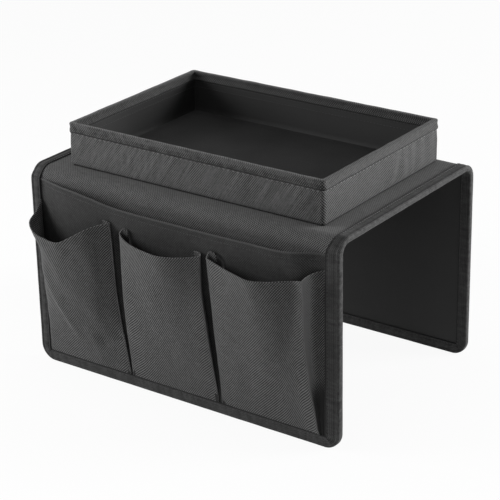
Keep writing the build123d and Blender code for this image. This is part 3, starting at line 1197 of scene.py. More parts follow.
@dataclass
class EdgeTape:
    """Tape folded round the raw edges, one channel all the way round the unrolled outline.

    It goes round the lower corners in an arc outside and in a square, mitred corner inside.
    """

    saddle: Saddle
    wardrobe: Wardrobe
    width: float = 10 * MM
    turned: float = 2 * MM  # of the flat tape, taken up by its turn round the edge
    ply: float = 0.55 * MM
    depth: float = 3.6 * MM
    corner: float = 14 * MM
    inner_corner: float = 1.2 * MM
    corner_steps: int = 48
    pocket_layers: float = 1.2 * MM  # of pocket fabric under the tape on the front panel
    pocket_top: Pair = (172 * MM, 5 * MM)  # height where they start, and the run to their full thickness
    step: float = 1.5 * MM
    stitch_line: float = 8.3 * MM  # from the edge
    stitch_off: float = 0.14 * MM  # off the tape's face
    stitch_pitch: float = 3 * MM
    puckered: float = 0.05 * MM
    wider: float = 3.2 * MM  # what the tape gains below the fold at the front panel's right end
    gain: float = 1.3  # folds' lengths over which it does
    mitre_height: float = 0.5 * MM
    mitre: Triple = (0.16, 1.25, 0.045)  # its lump's half width, its seam's depth and half width

    # distance from the edge and lift off the cloth, in millimetres, from the inner edge of one face
    # to the middle of the fold; it runs back the same way on the other face
    section: tuple[Pair, ...] = (
        (10.15, 0.04), (10.12, 0.6), (9.85, 0.86), (9.2, 0.78), (8.7, 0.46), (8.3, 0.26), (7.9, 0.46), (7.4, 0.72),
        (6.3, 0.78), (5.0, 0.78), (3.9, 0.64), (3.3, 0.40), (2.9, 0.26), (2.5, 0.42), (1.9, 0.78), (1.2, 0.84),
        (0.6, 0.5), (0.22, -0.05), (0.04, -0.75),
    )

    def round_corner(self, sign: int, down: bool, wider: float = 0.0) -> list[Station]:
        """Stations round a lower corner.

        Args:
            sign: -1 for the left end, 1 for the right end.
            down: in the order of travel down the left end, instead of up the right one.
            wider: what the tape has gained there.

        Returns:
            The stations.
        """
        centre_x = sign * (self.saddle.half_length - self.corner)
        centre_s = self.saddle.reach - self.corner
        square_x = sign * (self.saddle.half_length - self.width - self.inner_corner - wider)
        square_s = self.saddle.reach - self.width - self.inner_corner
        lump, seam_depth, seam = self.mitre
        turns = np.radians(np.linspace(0, 90, self.corner_steps + 1))
        found = []
        for turn in turns if down else turns[::-1]:
            away, low, off = sign * math.cos(turn), math.sin(turn), turn - math.pi / 4
            outer = (centre_x + self.corner * away, centre_s + self.corner * low)
            inner = (square_x + self.inner_corner * away, square_s + self.inner_corner * low)
            found.append(Station(outer, inner, float(bell(off, lump) - seam_depth * bell(off, seam))))
        return found

    def straight(self, sign: int, s_from: float, s_to: float) -> list[Station]:
        """Stations along a straight end edge.

        Args:
            sign: -1 for the left end, 1 for the right end.
            s_from: length where they start.
            s_to: length where they stop.

        Returns:
            The stations.
        """
        count = max(int(abs(s_to - s_from) / self.step), 1)
        x = sign * self.saddle.half_length
        inner = sign * (self.saddle.half_length - self.width)
        square_from = self.saddle.reach - self.width - self.inner_corner
        return [Station((x, s), (inner, min(s, square_from))) for s in np.linspace(s_from, s_to, count + 1)]

    def round_panel(self, wider: float) -> list[Station]:
        """Stations down a panel's left end, along its foot and up its right end.

        Args:
            wider: what the tape gains at the right end.

        Returns:
            The stations.
        """
        near, arc, reach = self.saddle.half_run, self.saddle.arc, self.saddle.reach
        stops = (near, near + self.saddle.seam_step, near + arc, reach - self.corner)
        down = self.straight(-1, *stops[:2])
        for start, stop in zip(stops[1:], stops[2:]):
            down += self.straight(-1, start, stop)[1:]
        up = []
        for a in down[::-1]:
            gained = wider * float(ease((a.outer[1] - near) / arc / self.gain))
            up.append(Station((-a.outer[0], a.outer[1]), (-a.inner[0] - gained, a.inner[1])))
        half = self.saddle.half_length - self.corner
        inner_half = self.saddle.half_length - self.width - self.inner_corner
        foot = [
            Station((u * half, reach), (u * inner_half - wider * (u + 1) / 2, reach - self.width))
            for u in np.linspace(-1, 1, int(2 * half / self.step))
        ]
        left, right = self.round_corner(-1, True), self.round_corner(1, False, wider)
        return [*down[:-1], *left, *foot[1:-1], *right, *up[1:]]

    def line(self, body: Body, end: int = 0) -> tuple[np.ndarray, np.ndarray, np.ndarray]:
        """The tape's stations on a body.

        Args:
            body: the body; a panel has one U-shaped line, the platform one at each end.
            end: -1 or 1 for the platform's left or right end.

        Returns:
            Outer points, inner points (x and s, with s signed) and the share of mitre.
        """
        if body is Body.PLATFORM:
            sign = 1.0
            found = self.straight(end, -self.saddle.half_run, self.saddle.half_run)[::end]
        elif body is Body.FRONT:
            sign = -1.0
            found = self.round_panel(self.wider)
        else:
            sign = 1.0
            found = self.round_panel(0.0)[::-1]
        outer = np.array([a.outer for a in found]) * (1.0, sign)
        inner = np.array([a.inner for a in found]) * (1.0, sign)
        return outer, inner, np.array([a.mitre for a in found])

    def under(self, body: Body, s: np.ndarray) -> np.ndarray:
        """How far the cloth below the outer half stands off.

        Args:
            body: the body; only the front panel has pocket layers there.
            s: lengths along the outer face.

        Returns:
            The thickness of what lies there at each length.
        """
        if body is not Body.FRONT:
            return np.zeros_like(s)
        top, run = self.pocket_top
        return self.pocket_layers * ease((top - self.saddle.height(s)) / run)

    def band(self, body: Body, end: int = 0) -> tuple[bpy.types.Object, list[tuple[np.ndarray, np.ndarray]]]:
        """Makes one length of tape.

        Args:
            body: the body that it is on.
            end: the end of the platform.

        Returns:
            The tape without finish, and the two stitch lines with their outward directions.
        """
        outer, inner, mitre = self.line(body, end)
        run = run_along(outer)
        half = np.array(self.section) * MM
        middle = -self.depth / 2
        skin = np.concatenate([half, [[0.0, middle]], np.stack([half[::-1, 0], -self.depth - half[::-1, 1]], -1)])
        inside = skin + left_of(skin) * self.ply
        inside[:, 0] = np.minimum(inside[:, 0], half[0, 0] - 0.1 * MM)
        ring = np.concatenate([skin, inside[::-1]])
        share = ring[:, 0] / self.width
        place = outer[:, None] + (inner - outer)[:, None] * share[None, :, None]
        outside = ring[:, 1] > middle
        raised = self.under(body, place[..., 1]) * outside
        rows = bell(ring[:, 0] - self.stitch_line, 1.1 * MM)
        pucker = self.puckered * np.cos(2 * math.pi * run / self.stitch_pitch)[:, None] * rows
        lump = self.mitre_height * mitre[:, None] * ease(share * 1.4)
        seed = 41 + 3 * end + len(body.value)
        slack = 0.07 * MM * sway(run[:, None], ring[None, :, 0] * 2, 26 * MM, seed)
        swell = (lump + slack * (share > 0.02) - pucker) * np.where(outside, 1, -1)
        points = self.saddle.place(place[..., 0], place[..., 1], ring[None, :, 1] + raised + swell)
        lengths = length_map(run[:, None], across_strip(skin, 2 * (self.width + self.turned))[None])
        word = body.word if body is not Body.PLATFORM else f"{body.word}_{'left' if end < 0 else 'right'}"
        piece = Cloth(f"{word}_edge_tape").wrapped(points, lengths, 60)
        column = int(np.argmin(np.abs(half[:, 0] - self.stitch_line)))
        seams = []
        for at, side in ((column, 1.0), (len(skin) - 1 - column, -1.0)):
            up = self.saddle.outward(place[:, at, 1]) * side
            seams.append((points[:, at] + up * self.stitch_off, up))
        return piece, seams

    def build(self) -> None:
        """Makes and dresses all tape with its stitches."""
        wear = self.wardrobe
        for body, end, finish, thread in (
            (Body.FRONT, 0, wear.front_tape, wear.dark_thread),
            (Body.PLATFORM, -1, wear.platform_tape, wear.thread),
            (Body.PLATFORM, 1, wear.platform_tape, wear.thread),
            (Body.BACK, 0, wear.tape, wear.dark_thread),
        ):
            piece, seams = self.band(body, end)
            low, high = self.saddle.span(body)
            if body is Body.PLATFORM:
                nodes = [f"top_binding_{'left' if end < 0 else 'right'}"]
                length = high - low
            else:
                nodes = [f"{body.word}_{part}" for part in ("binding", "fold_binding_left", "fold_binding_right")]
                length = 2 * (high - low) + 2 * self.saddle.half_length
            finish_piece(piece, finish, nodes)
            stitches = Seam(piece.name.replace("edge_tape", "tape_stitches")).sew(seams)
            finish_piece(stitches, thread)
            flat = (2 * self.width + self.depth + self.turned, length)
            self.saddle.hang(piece, body)
            self.saddle.hang(stitches, body)


# ---- tray


@dataclass(frozen=True)
class WallLine:
    """The closed line round the tray's walls, anticlockwise seen from above, from the back left corner."""

    middle: Pair
    half: Pair
    radius: float
    least_radius: float = 0.8 * MM
    step: float = 1.5 * MM
    arc_steps: int = 8  # to a quarter turn

    # each corner's side in x and in y, and the angles that its arc runs through; the first one is cut in two
    corners: tuple[tuple[int, int, float, float], ...] = (
        (-1, 1, 135, 180), (-1, -1, 180, 270), (1, -1, 270, 360), (1, 1, 0, 90), (-1, 1, 90, 135),
    )

    def ring(self, t: float) -> np.ndarray:
        """The line at a distance outside the cover's face.

        Args:
            t: that distance, negative towards the inside.

        Returns:
            Its points, as many at every distance.
        """
        radius = max(self.radius + t, self.least_radius)
        centre = np.array(self.half) + t - radius
        arcs = []
        for sign_x, sign_y, start, stop in self.corners:
            turn = np.radians(np.linspace(start, stop, round(self.arc_steps * (stop - start) / 90) + 1))
            arcs.append(centre * (sign_x, sign_y) + radius * np.stack([np.cos(turn), np.sin(turn)], -1))
        runs = [arcs[0]]
        for k, (before, after) in enumerate(zip(arcs, arcs[1:])):
            count = int(2 * self.half[1 - k % 2] / self.step)
            share = np.linspace(0, 1, count + 1)[1:-1, None]
            runs += [before[-1] * (1 - share) + after[0] * share, after]
        return np.concatenate(runs) + self.middle

    def outward(self) -> np.ndarray:
        """Level directions straight off the wall at each point."""
        off = self.ring(1 * MM) - self.ring(0.0)
        return off / np.linalg.norm(off, axis=1)[:, None]

    def run(self) -> np.ndarray:
        """Length along the line at each point."""
        return run_along(self.ring(0.0))


@dataclass
class TrayBox:
    """The tray sewn on the platform: four stiffened walls, covered, lined and hemmed, and its floor."""

    wardrobe: Wardrobe
    cover_ply: float = 0.6 * MM
    lining_ply: float = 0.5 * MM
    hem_ply: float = 0.55 * MM
    wall: float = 3.1 * MM  # from the cover's face to the lining's face
    radius: float = 3 * MM
    cover_top: float = 36.2 * MM  # where the cover and the lining end under the hem, over the platform
    hem_width: float = 24 * MM  # of its flat strip
    hem_map: float = 20 * MM  # of the strip on the hem's map, which the hem's finish goes by
    stitch_height: float = 28.1 * MM
    stitch_pitch: float = 4.6 * MM
    lower_stitch: float = 23.2 * MM

    # y of each upright crease of the right wall, its depth, its lean and its half width, in millimetres
    creases: tuple[tuple[float, float, float, float], ...] = (
        (41, 1.1, 0.4, 5.2), (54, 0.75, -0.1, 4.6), (66, 0.8, 0.1, 5.0), (81, 0.55, -0.12, 5.4),
    )
    crease_height: float = 18 * MM  # where a leaning crease is at its y

    # distance off the cover's face and height over the platform, in millimetres, of the hem's outer half
    hem_section: tuple[Pair, ...] = (
        (0.05, 29.0), (0.6, 28.95), (0.86, 29.15), (1.0, 29.6), (0.98, 30.3), (0.82, 31.2), (0.54, 32.2),
        (0.36, 33.2), (0.34, 34.0), (0.5, 34.9), (0.7, 35.6), (0.72, 36.2), (0.45, 36.75), (-0.2, 37.0),
    )

    def __post_init__(self) -> None:
        """Reads the tray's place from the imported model."""
        low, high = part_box("tray_cover")
        self.base = low.z
        self.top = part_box("tray_hem")[1].z - self.base
        middle = ((low.x + high.x) / 2, (low.y + high.y) / 2)
        self.line = WallLine(middle, ((high.x - low.x) / 2, (high.y - low.y) / 2), self.radius)

    def raise_up(self, t: np.ndarray, height: np.ndarray, bulge: Any = 0.0) -> np.ndarray:
        """Turns distances off the wall and heights into points.

        Args:
            t: base distance of each column off the cover's face.
            height: height of each column over the platform.
            bulge: what is added to the distance, for each station and column.

        Returns:
            Stations x columns x 3.
        """
        rings = np.stack([self.line.ring(float(d)) for d in t], 1)
        flat = rings + self.line.outward()[:, None] * np.broadcast_to(bulge, rings.shape[:2])[..., None]
        z = self.base + np.broadcast_to(height, rings.shape[:2])
        return np.concatenate([flat, z[..., None]], -1)

    def ripple(self, height: np.ndarray) -> np.ndarray:
        """Soft waves of the outer cloth: upright creases near the back of the right wall, fine ones in front.

        Args:
            height: height of each column over the platform.

        Returns:
            How far the cloth stands off, for each station and column.
        """
        points = self.line.ring(0.0)
        x, y = points[:, :1], points[:, 1:]
        run = self.line.run()[:, None]
        right = ease((x - self.line.middle[0] - self.line.half[0] + 6 * MM) / (4 * MM))
        front = ease((self.line.middle[1] - self.line.half[1] + 6 * MM - y) / (4 * MM))
        creases = sum(
            depth * MM * bell(y - place * MM - lean * (height - self.crease_height), width * MM)
            for place, depth, lean, width in self.creases
        )
        slow = 0.25 * MM * (0.8 + sway(run, height, 46 * MM, 51))
        full = 1 * MM * right * ease((y - 14 * MM) / (20 * MM)) * ease((100 * MM - y) / (14 * MM))
        fine = 0.30 * MM * sway(run, height * 0.25, 6 * MM, 57) * front * bell(x + 62 * MM, 50 * MM)
        fade = ease(height / (9 * MM)) * ease((33 * MM - height) / (8 * MM))
        return np.maximum(slow + fine + full - right * creases, -0.3 * MM) * fade

    def corner_share(self, width: float) -> np.ndarray:
        """1 at the upright corners, sinking to 0 within a width along the walls.

        Args:
            width: that width.

        Returns:
            The share at each station.
        """
        points = np.abs(self.line.ring(0.0) - self.line.middle)
        away = np.hypot(*(np.array(self.line.half) - points).T)
        return bell(away, width)[:, None]

    def pucker(self) -> np.ndarray:
        """How the stitches of the hem draw the cloth in along the walls.

        Returns:
            1 at the middle of each stitch, 0 between two stitches, for each station.
        """
        run = self.line.run()[:, None]
        count = int(run[-1, 0] / self.stitch_pitch)
        return 0.5 - 0.5 * np.cos(2 * math.pi * run * count / run[-1, 0])

    def cover(self) -> bpy.types.Object:
        """The band of cloth round the outside, tucked under at its foot.

        Returns:
            The piece, not dressed yet.
        """
        foot = (0, 0.4, 0.7, 1.0, 1.3, 1.6, 1.9, 2.3, 2.9, 3.6)
        seam = (26.8, 27.5, 28.1, 28.8, 30, 33)
        height = np.array([*foot, *np.linspace(5.2, 26, 13), *seam, self.cover_top / MM]) * MM
        loose = 0.6 * MM * ease((27 * MM - height) / (9 * MM))
        tuck = 1 - ease((height - 0.6 * MM) / (1.9 * MM))
        dimple = self.pucker() * bell(height - self.stitch_height, 1 * MM)
        soft = self.ripple(height[None]) + loose + self.corner_share(3 * MM) * 0.12 * MM
        bulge = soft * (1 - tuck) - 0.5 * MM * tuck - 0.2 * MM * dimple
        face = self.raise_up(np.zeros_like(height), height, bulge)
        back = self.raise_up(np.full_like(height, -self.cover_ply), height, bulge)
        lengths = length_map(self.line.run()[:, None], height[-1] - height[None])
        return Cloth("tray_wall_cover").sheet(face, back, lengths)

    def inside(self) -> bpy.types.Object:
        """The lining's band round the inside of the walls.

        Returns:
            The piece, not dressed yet.
        """
        height = gathered_steps([0.3 * MM, self.cover_top], 2.4 * MM)
        run = self.line.run()[:, None]
        slow = 0.22 * MM * (0.5 + 0.5 * sway(run, height[None], 34 * MM, 52))
        cove = 0.8 * MM * (1 - ease(height[None] / (3 * MM)))
        face, back = (
            self.raise_up(np.full_like(height, t), height, -(slow + cove))
            for t in (-self.wall, -self.wall + self.lining_ply)
        )
        return Cloth("tray_wall_lining").sheet(face[::-1], back[::-1], length_map(run, height[None])[::-1])

    def floor(self) -> bpy.types.Object:
        """The lining on the tray's floor, a little puffed between its edges.

        Returns:
            The piece, not dressed yet.
        """
        low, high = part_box("tray_floor_lining")
        rim = 4 * MM
        x = gathered_steps([low.x, low.x + rim, high.x - rim, high.x], 3 * MM)[:, None]
        y = gathered_steps([low.y, low.y + rim, high.y - rim, high.y], 3 * MM)[None]
        edge = np.minimum(np.minimum(x - low.x, high.x - x), np.minimum(y - low.y, high.y - y))
        puff = 0.5 * MM * (0.5 + 0.5 * sway(x, y, 55 * MM, 53)) * ease(edge / (14 * MM))
        cove = 0.7 * MM * (1 - ease(edge / (2.5 * MM)))
        x, y = np.broadcast_arrays(x, y)
        face = np.stack([x, y, high.z + puff + cove], -1)
        back = np.stack([x, y, np.maximum(face[..., 2] - self.lining_ply, low.z + HAIR)], -1)
        return Cloth("tray_floor_sheet").sheet(face, back, length_map(x, y))

    def hem(self) -> bpy.types.Object:
        """The hem folded over the rim, rolled at its top and gathered a little at each stitch.

        Returns:
            The piece, not dressed yet.
        """
        half = np.array(self.hem_section) * MM
        crown = [[-self.wall / 2, self.top]]
        skin = np.concatenate([half, crown, np.stack([-self.wall - half[::-1, 0], half[::-1, 1]], -1)])
        under = skin + left_of(skin) * self.hem_ply
        under[:, 1] = np.maximum(under[:, 1], half[0, 1] + HAIR)
        ring = np.concatenate([skin, under[::-1]])[::-1]
        run, off, level = self.line.run()[:, None], ring[:, 0], ring[None, :, 1]
        lump = self.corner_share(4 * MM) * 0.3 * MM * ease((level - 27 * MM) / (2 * MM))
        soft = 0.18 * MM * sway(run, level * 1.5, 17 * MM, 54)
        pucker = 0.24 * MM * self.pucker() * bell(level - 29.2 * MM, 1.6 * MM)
        bulge = (lump + soft - pucker) * np.where(off > -self.wall / 2, 1, -1)
        dip = 0.14 * MM * sway(run, 0 * run, 30 * MM, 55) * ease((level - 33 * MM) / (3 * MM))
        points = self.raise_up(off, level + np.minimum(dip, 0.05 * MM), bulge)
        lengths = length_map(run, across_strip(skin, self.hem_map)[None, ::-1])
        return Cloth("tray_rim_hem").wrapped(points, lengths, 60)

    def stitch_line(self, inside: bool, height: float) -> tuple[np.ndarray, np.ndarray]:
        """A line for stitches round the walls.

        Args:
            inside: on the lining instead of the cover.
            height: its height over the platform.

        Returns:
            The line's points, and the directions straight off the wall.
        """
        up = np.concatenate([self.line.outward() * (-1 if inside else 1), np.zeros((len(self.line.run()), 1))], -1)
        off = -self.wall - 0.3 * MM if inside else 0.14 * MM
        return self.raise_up(np.array([off]), np.array([height]))[:, 0], up

    def build(self) -> None:
        """Makes and dresses the whole tray."""
        girth = float(self.line.run()[-1])
        low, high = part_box("tray_floor_lining")
        wear = self.wardrobe
        outer = Seam("tray_hem_stitches", self.stitch_pitch, 2.7 * MM, 0.66 * MM, 0.35 * MM).sew(
            [self.stitch_line(False, self.stitch_height)]
        )
        lower = Seam("tray_lining_stitches", 3.2 * MM, 2.4 * MM, 0.4 * MM).sew(
            [self.stitch_line(True, height) for height in (self.stitch_height, self.lower_stitch)]
        )
        around, hem_flat, floor_flat = (self.top, girth), (self.hem_width, girth), (high.x - low.x, high.y - low.y)
        for piece, finish, slot, node, flat, threads in (
            (self.cover(), wear.wall, "woven_fabric", "tray_cover", around, {}),
            (self.inside(), wear.tray_lining, "lining", "tray_lining", around, {lower: wear.dark_thread}),
            (self.floor(), wear.tray_lining, "lining", "tray_floor_lining", floor_flat, {}),
            (self.hem(), wear.hem, "woven_fabric", "tray_hem", hem_flat, {outer: wear.thread}),
        ):
            finish_piece(piece, finish, [node])
            for stitches, thread in threads.items():
                finish_piece(stitches, thread)
                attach(stitches, Body.PLATFORM.value)
            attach(piece, Body.PLATFORM.value)


# ---- pockets


@dataclass
class MagazinePocket:
    """The wide pocket: one sheet over the front panel, sewn in at its ends and foot, its mouth standing off."""

    saddle: Saddle
    wardrobe: Wardrobe
    ply: float = 0.6 * MM
    lowest: float = 7 * MM  # height of its raw edge, under the foot's tape
    foot: float = 10.9 * MM  # height from which it leans off the panel
    level: float = 163 * MM  # usual height of the mouth
    lean: float = 9.8 * MM  # how far it stands off at that height
    hem_turn: float = 6 * MM  # of the flat sheet, turned in at the mouth
    side_gap: float = 0.8 * MM  # from its ends to the panel's ends
    flat_end: float = 139 * MM  # x from which the tape holds it flat
    full_end: Pair = (78 * MM, 112 * MM)  # x up to which it leans in full, left and right
    drawn_in: tuple[float, ...] = (-54 * MM, 42.5 * MM)  # x where it is sewn down between two small pockets
    drawn_top: float = 146 * MM
    corner: Pair = (138.5 * MM, 14 * MM)  # x and height of the middle of a lower corner's arc
    corner_radius: float = 13 * MM
    stitch_drop: float = 5.6 * MM  # from the mouth down to its stitches
    stitched: Pair = (-141.5 * MM, 138.4 * MM)

    # x and height of the mouth, in millimetres
    mouth_points: tuple[Pair, ...] = (
        (-153, 166.6), (-136, 166.9), (-108, 167.0), (-84, 165.4), (-58, 162.0), (-38, 161.2),
        (5, 161.1), (77, 161.5), (105, 162.6), (125, 164.0), (140, 163.6), (153, 163.4),
    )

    def mouth(self, x: np.ndarray) -> np.ndarray:
        """Height of the mouth at each place along it."""
        points = np.array(self.mouth_points) * MM
        return (spline_weights(points[:, 0], np.ravel(x)) @ points[:, 1]).reshape(np.shape(x))

    def stand_off(self, x: np.ndarray, z: np.ndarray) -> np.ndarray:
        """How far the sheet's outer face is off the front cover, before its small waves.

        Args:
            x: place along the panel.
            z: height.

        Returns:
            The distance at each point.
        """
        rise = np.clip((z - self.foot) / (self.level - self.foot), 0, 1.05)
        inward = np.clip((self.flat_end - np.abs(x)) / (self.flat_end - np.where(x < 0, *self.full_end)), 0, 1)
        ends = np.where(x < 0, inward * (2 - inward), ease(inward))
        drawn = sum(bell(x - middle, 6.5 * MM) for middle in self.drawn_in)
        ends = ends * (1 - 0.85 * drawn * ease((self.drawn_top - z) / (12 * MM)))
        return self.ply + (0.2 * MM + (self.lean - 0.2 * MM) * rise) * ends * ease((z - 9 * MM) / (4 * MM))

    def spread(self, x: np.ndarray, z: np.ndarray, below: np.ndarray) -> np.ndarray:
        """How far the sheet's outer face is off the front cover, with its turned edge and its waves.

        Args:
            x: place along the panel.
            z: height.
            below: distance below the mouth.

        Returns:
            The distance at each point.
        """
        side = np.abs(x)
        roll = 0.45 * MM * bell(below - 0.9 * MM, 0.9 * MM) - 0.3 * MM * bell(below - self.stitch_drop, 0.8 * MM)
        soft = 0.5 * MM * sway(x, z, 52 * MM, 61)
        soft = soft * ease((138 * MM - side) / (20 * MM)) * ease((z - 14 * MM) / (20 * MM))
        edge = 0.5 * MM * sway(x, 0 * z, 38 * MM, 62) * bell(below, 14 * MM)
        edge = edge * ease((135 * MM - side) / (16 * MM))
        rolled = self.stand_off(x, z) + roll * ease((142.5 * MM - side) / (3 * MM))
        return rolled + np.maximum(soft + edge, -0.1 * MM)

    def rounded(self, x: np.ndarray, z: np.ndarray) -> np.ndarray:
        """Draws the two lower corners in, as round as the panel's.

        Args:
            x: place along the panel.
            z: height.

        Returns:
            The place along the panel that each point moves to.
        """
        out, down = np.maximum(np.abs(x) - self.corner[0], 0), np.maximum(self.corner[1] - z, 0)
        past = np.maximum(0, np.hypot(out, down) - self.corner_radius)
        return np.sign(x) * (np.abs(x) - past)

    def place(self, x: np.ndarray, z: np.ndarray, off: np.ndarray) -> np.ndarray:
        """Points at a distance off the front cover."""
        x, z, off = np.broadcast_arrays(x, z, off)
        return np.stack([x, self.saddle.front_face - off, z], -1)

    def build(self) -> None:
        """Makes and dresses the sheet and the stitches of its hem."""
        half = self.saddle.half_length - self.side_gap
        x = gathered_steps([-half, -141 * MM, 141 * MM, half], 2.5 * MM)[:, None]
        mouth = self.mouth(x)
        drop = gathered_steps([0, 0.5, 1.3, 2.4, 4.6, 5.6, 6.6, 9.0], 0.6)[::-1] * MM
        body = gathered_steps([0.0, 1.0], 0.035)[None, :-1]
        z = np.concatenate([self.lowest + (mouth - drop[0] - self.lowest) * body, mouth - drop[None]], 1)
        below = mouth - z
        off = self.spread(x, z, below)
        rounded = self.rounded(x, z)
        face = self.place(rounded, z, off)
        doubled = self.ply * (1 + ease((6.2 * MM - below) / (1.2 * MM)) * ease(below / (0.8 * MM)))
        back = self.place(rounded, z, np.maximum(off - doubled, HAIR))
        piece = Cloth("magazine_pocket_sheet").sheet(face, back, length_map(x, below))
        finish_piece(piece, self.wardrobe.pocket_back, ["magazine_pocket"])
        inner = (x[:, 0] > self.stitched[0]) & (x[:, 0] < self.stitched[1])
        column = int(np.argmin(np.abs(drop - self.stitch_drop))) + body.shape[1]
        line = face[inner, column] + (0, -0.04 * MM, 0)
        off_panel = np.tile((0.0, -1.0, 0.0), (len(line), 1))
        stitches = Seam("magazine_hem_stitches", thread=0.36 * MM).sew([(line, off_panel)])
        finish_piece(stitches, self.wardrobe.dark_thread)
        flat = (2 * half, self.level + self.hem_turn)
        for thing in (piece, stitches):
            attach(thing, Body.FRONT.value)


@dataclass(frozen=True)
class Rib:
    """One upright line of a pleated pocket: x and stand-off at foot and half-way, and both with height at the mouth.

    All in millimetres. A crisp rib is the pressed edge of a pleat.
    """

    foot: Pair
    half: Pair
    mouth: Triple
    crisp: bool = False
    lip: float = 0.0  # how far the mouth flares sideways in its last centimetre
    bow: float = 0.0  # how far the rib bends sideways at three quarters of its height


@dataclass(frozen=True)
class Crease:
    """A straight crease across a small pocket, in millimetres."""

    start: Pair  # x and height
    end: Pair
    depth: float  # below 0 for a ridge
    widths: Pair  # to the right and to the left of its way

    def depths(self, x: np.ndarray, z: np.ndarray) -> np.ndarray:
        """How deep the crease lies.

        Args:
            x: place along the panel.
            z: height.

        Returns:
            The depth at each point, in metres.
        """
        way = np.subtract(self.end, self.start)
        rel_x, rel_z = x / MM - self.start[0], z / MM - self.start[1]
        along = (rel_x * way[0] + rel_z * way[1]) / (way @ way)
        aside = (rel_x * way[1] - rel_z * way[0]) / math.hypot(*way)
        fade = ease(along * 4) * ease((1 - along) * 4)
        right, left = (bell(aside, width) for width in self.widths)
        return self.depth * MM * np.where(aside > 0, right, left) * fade


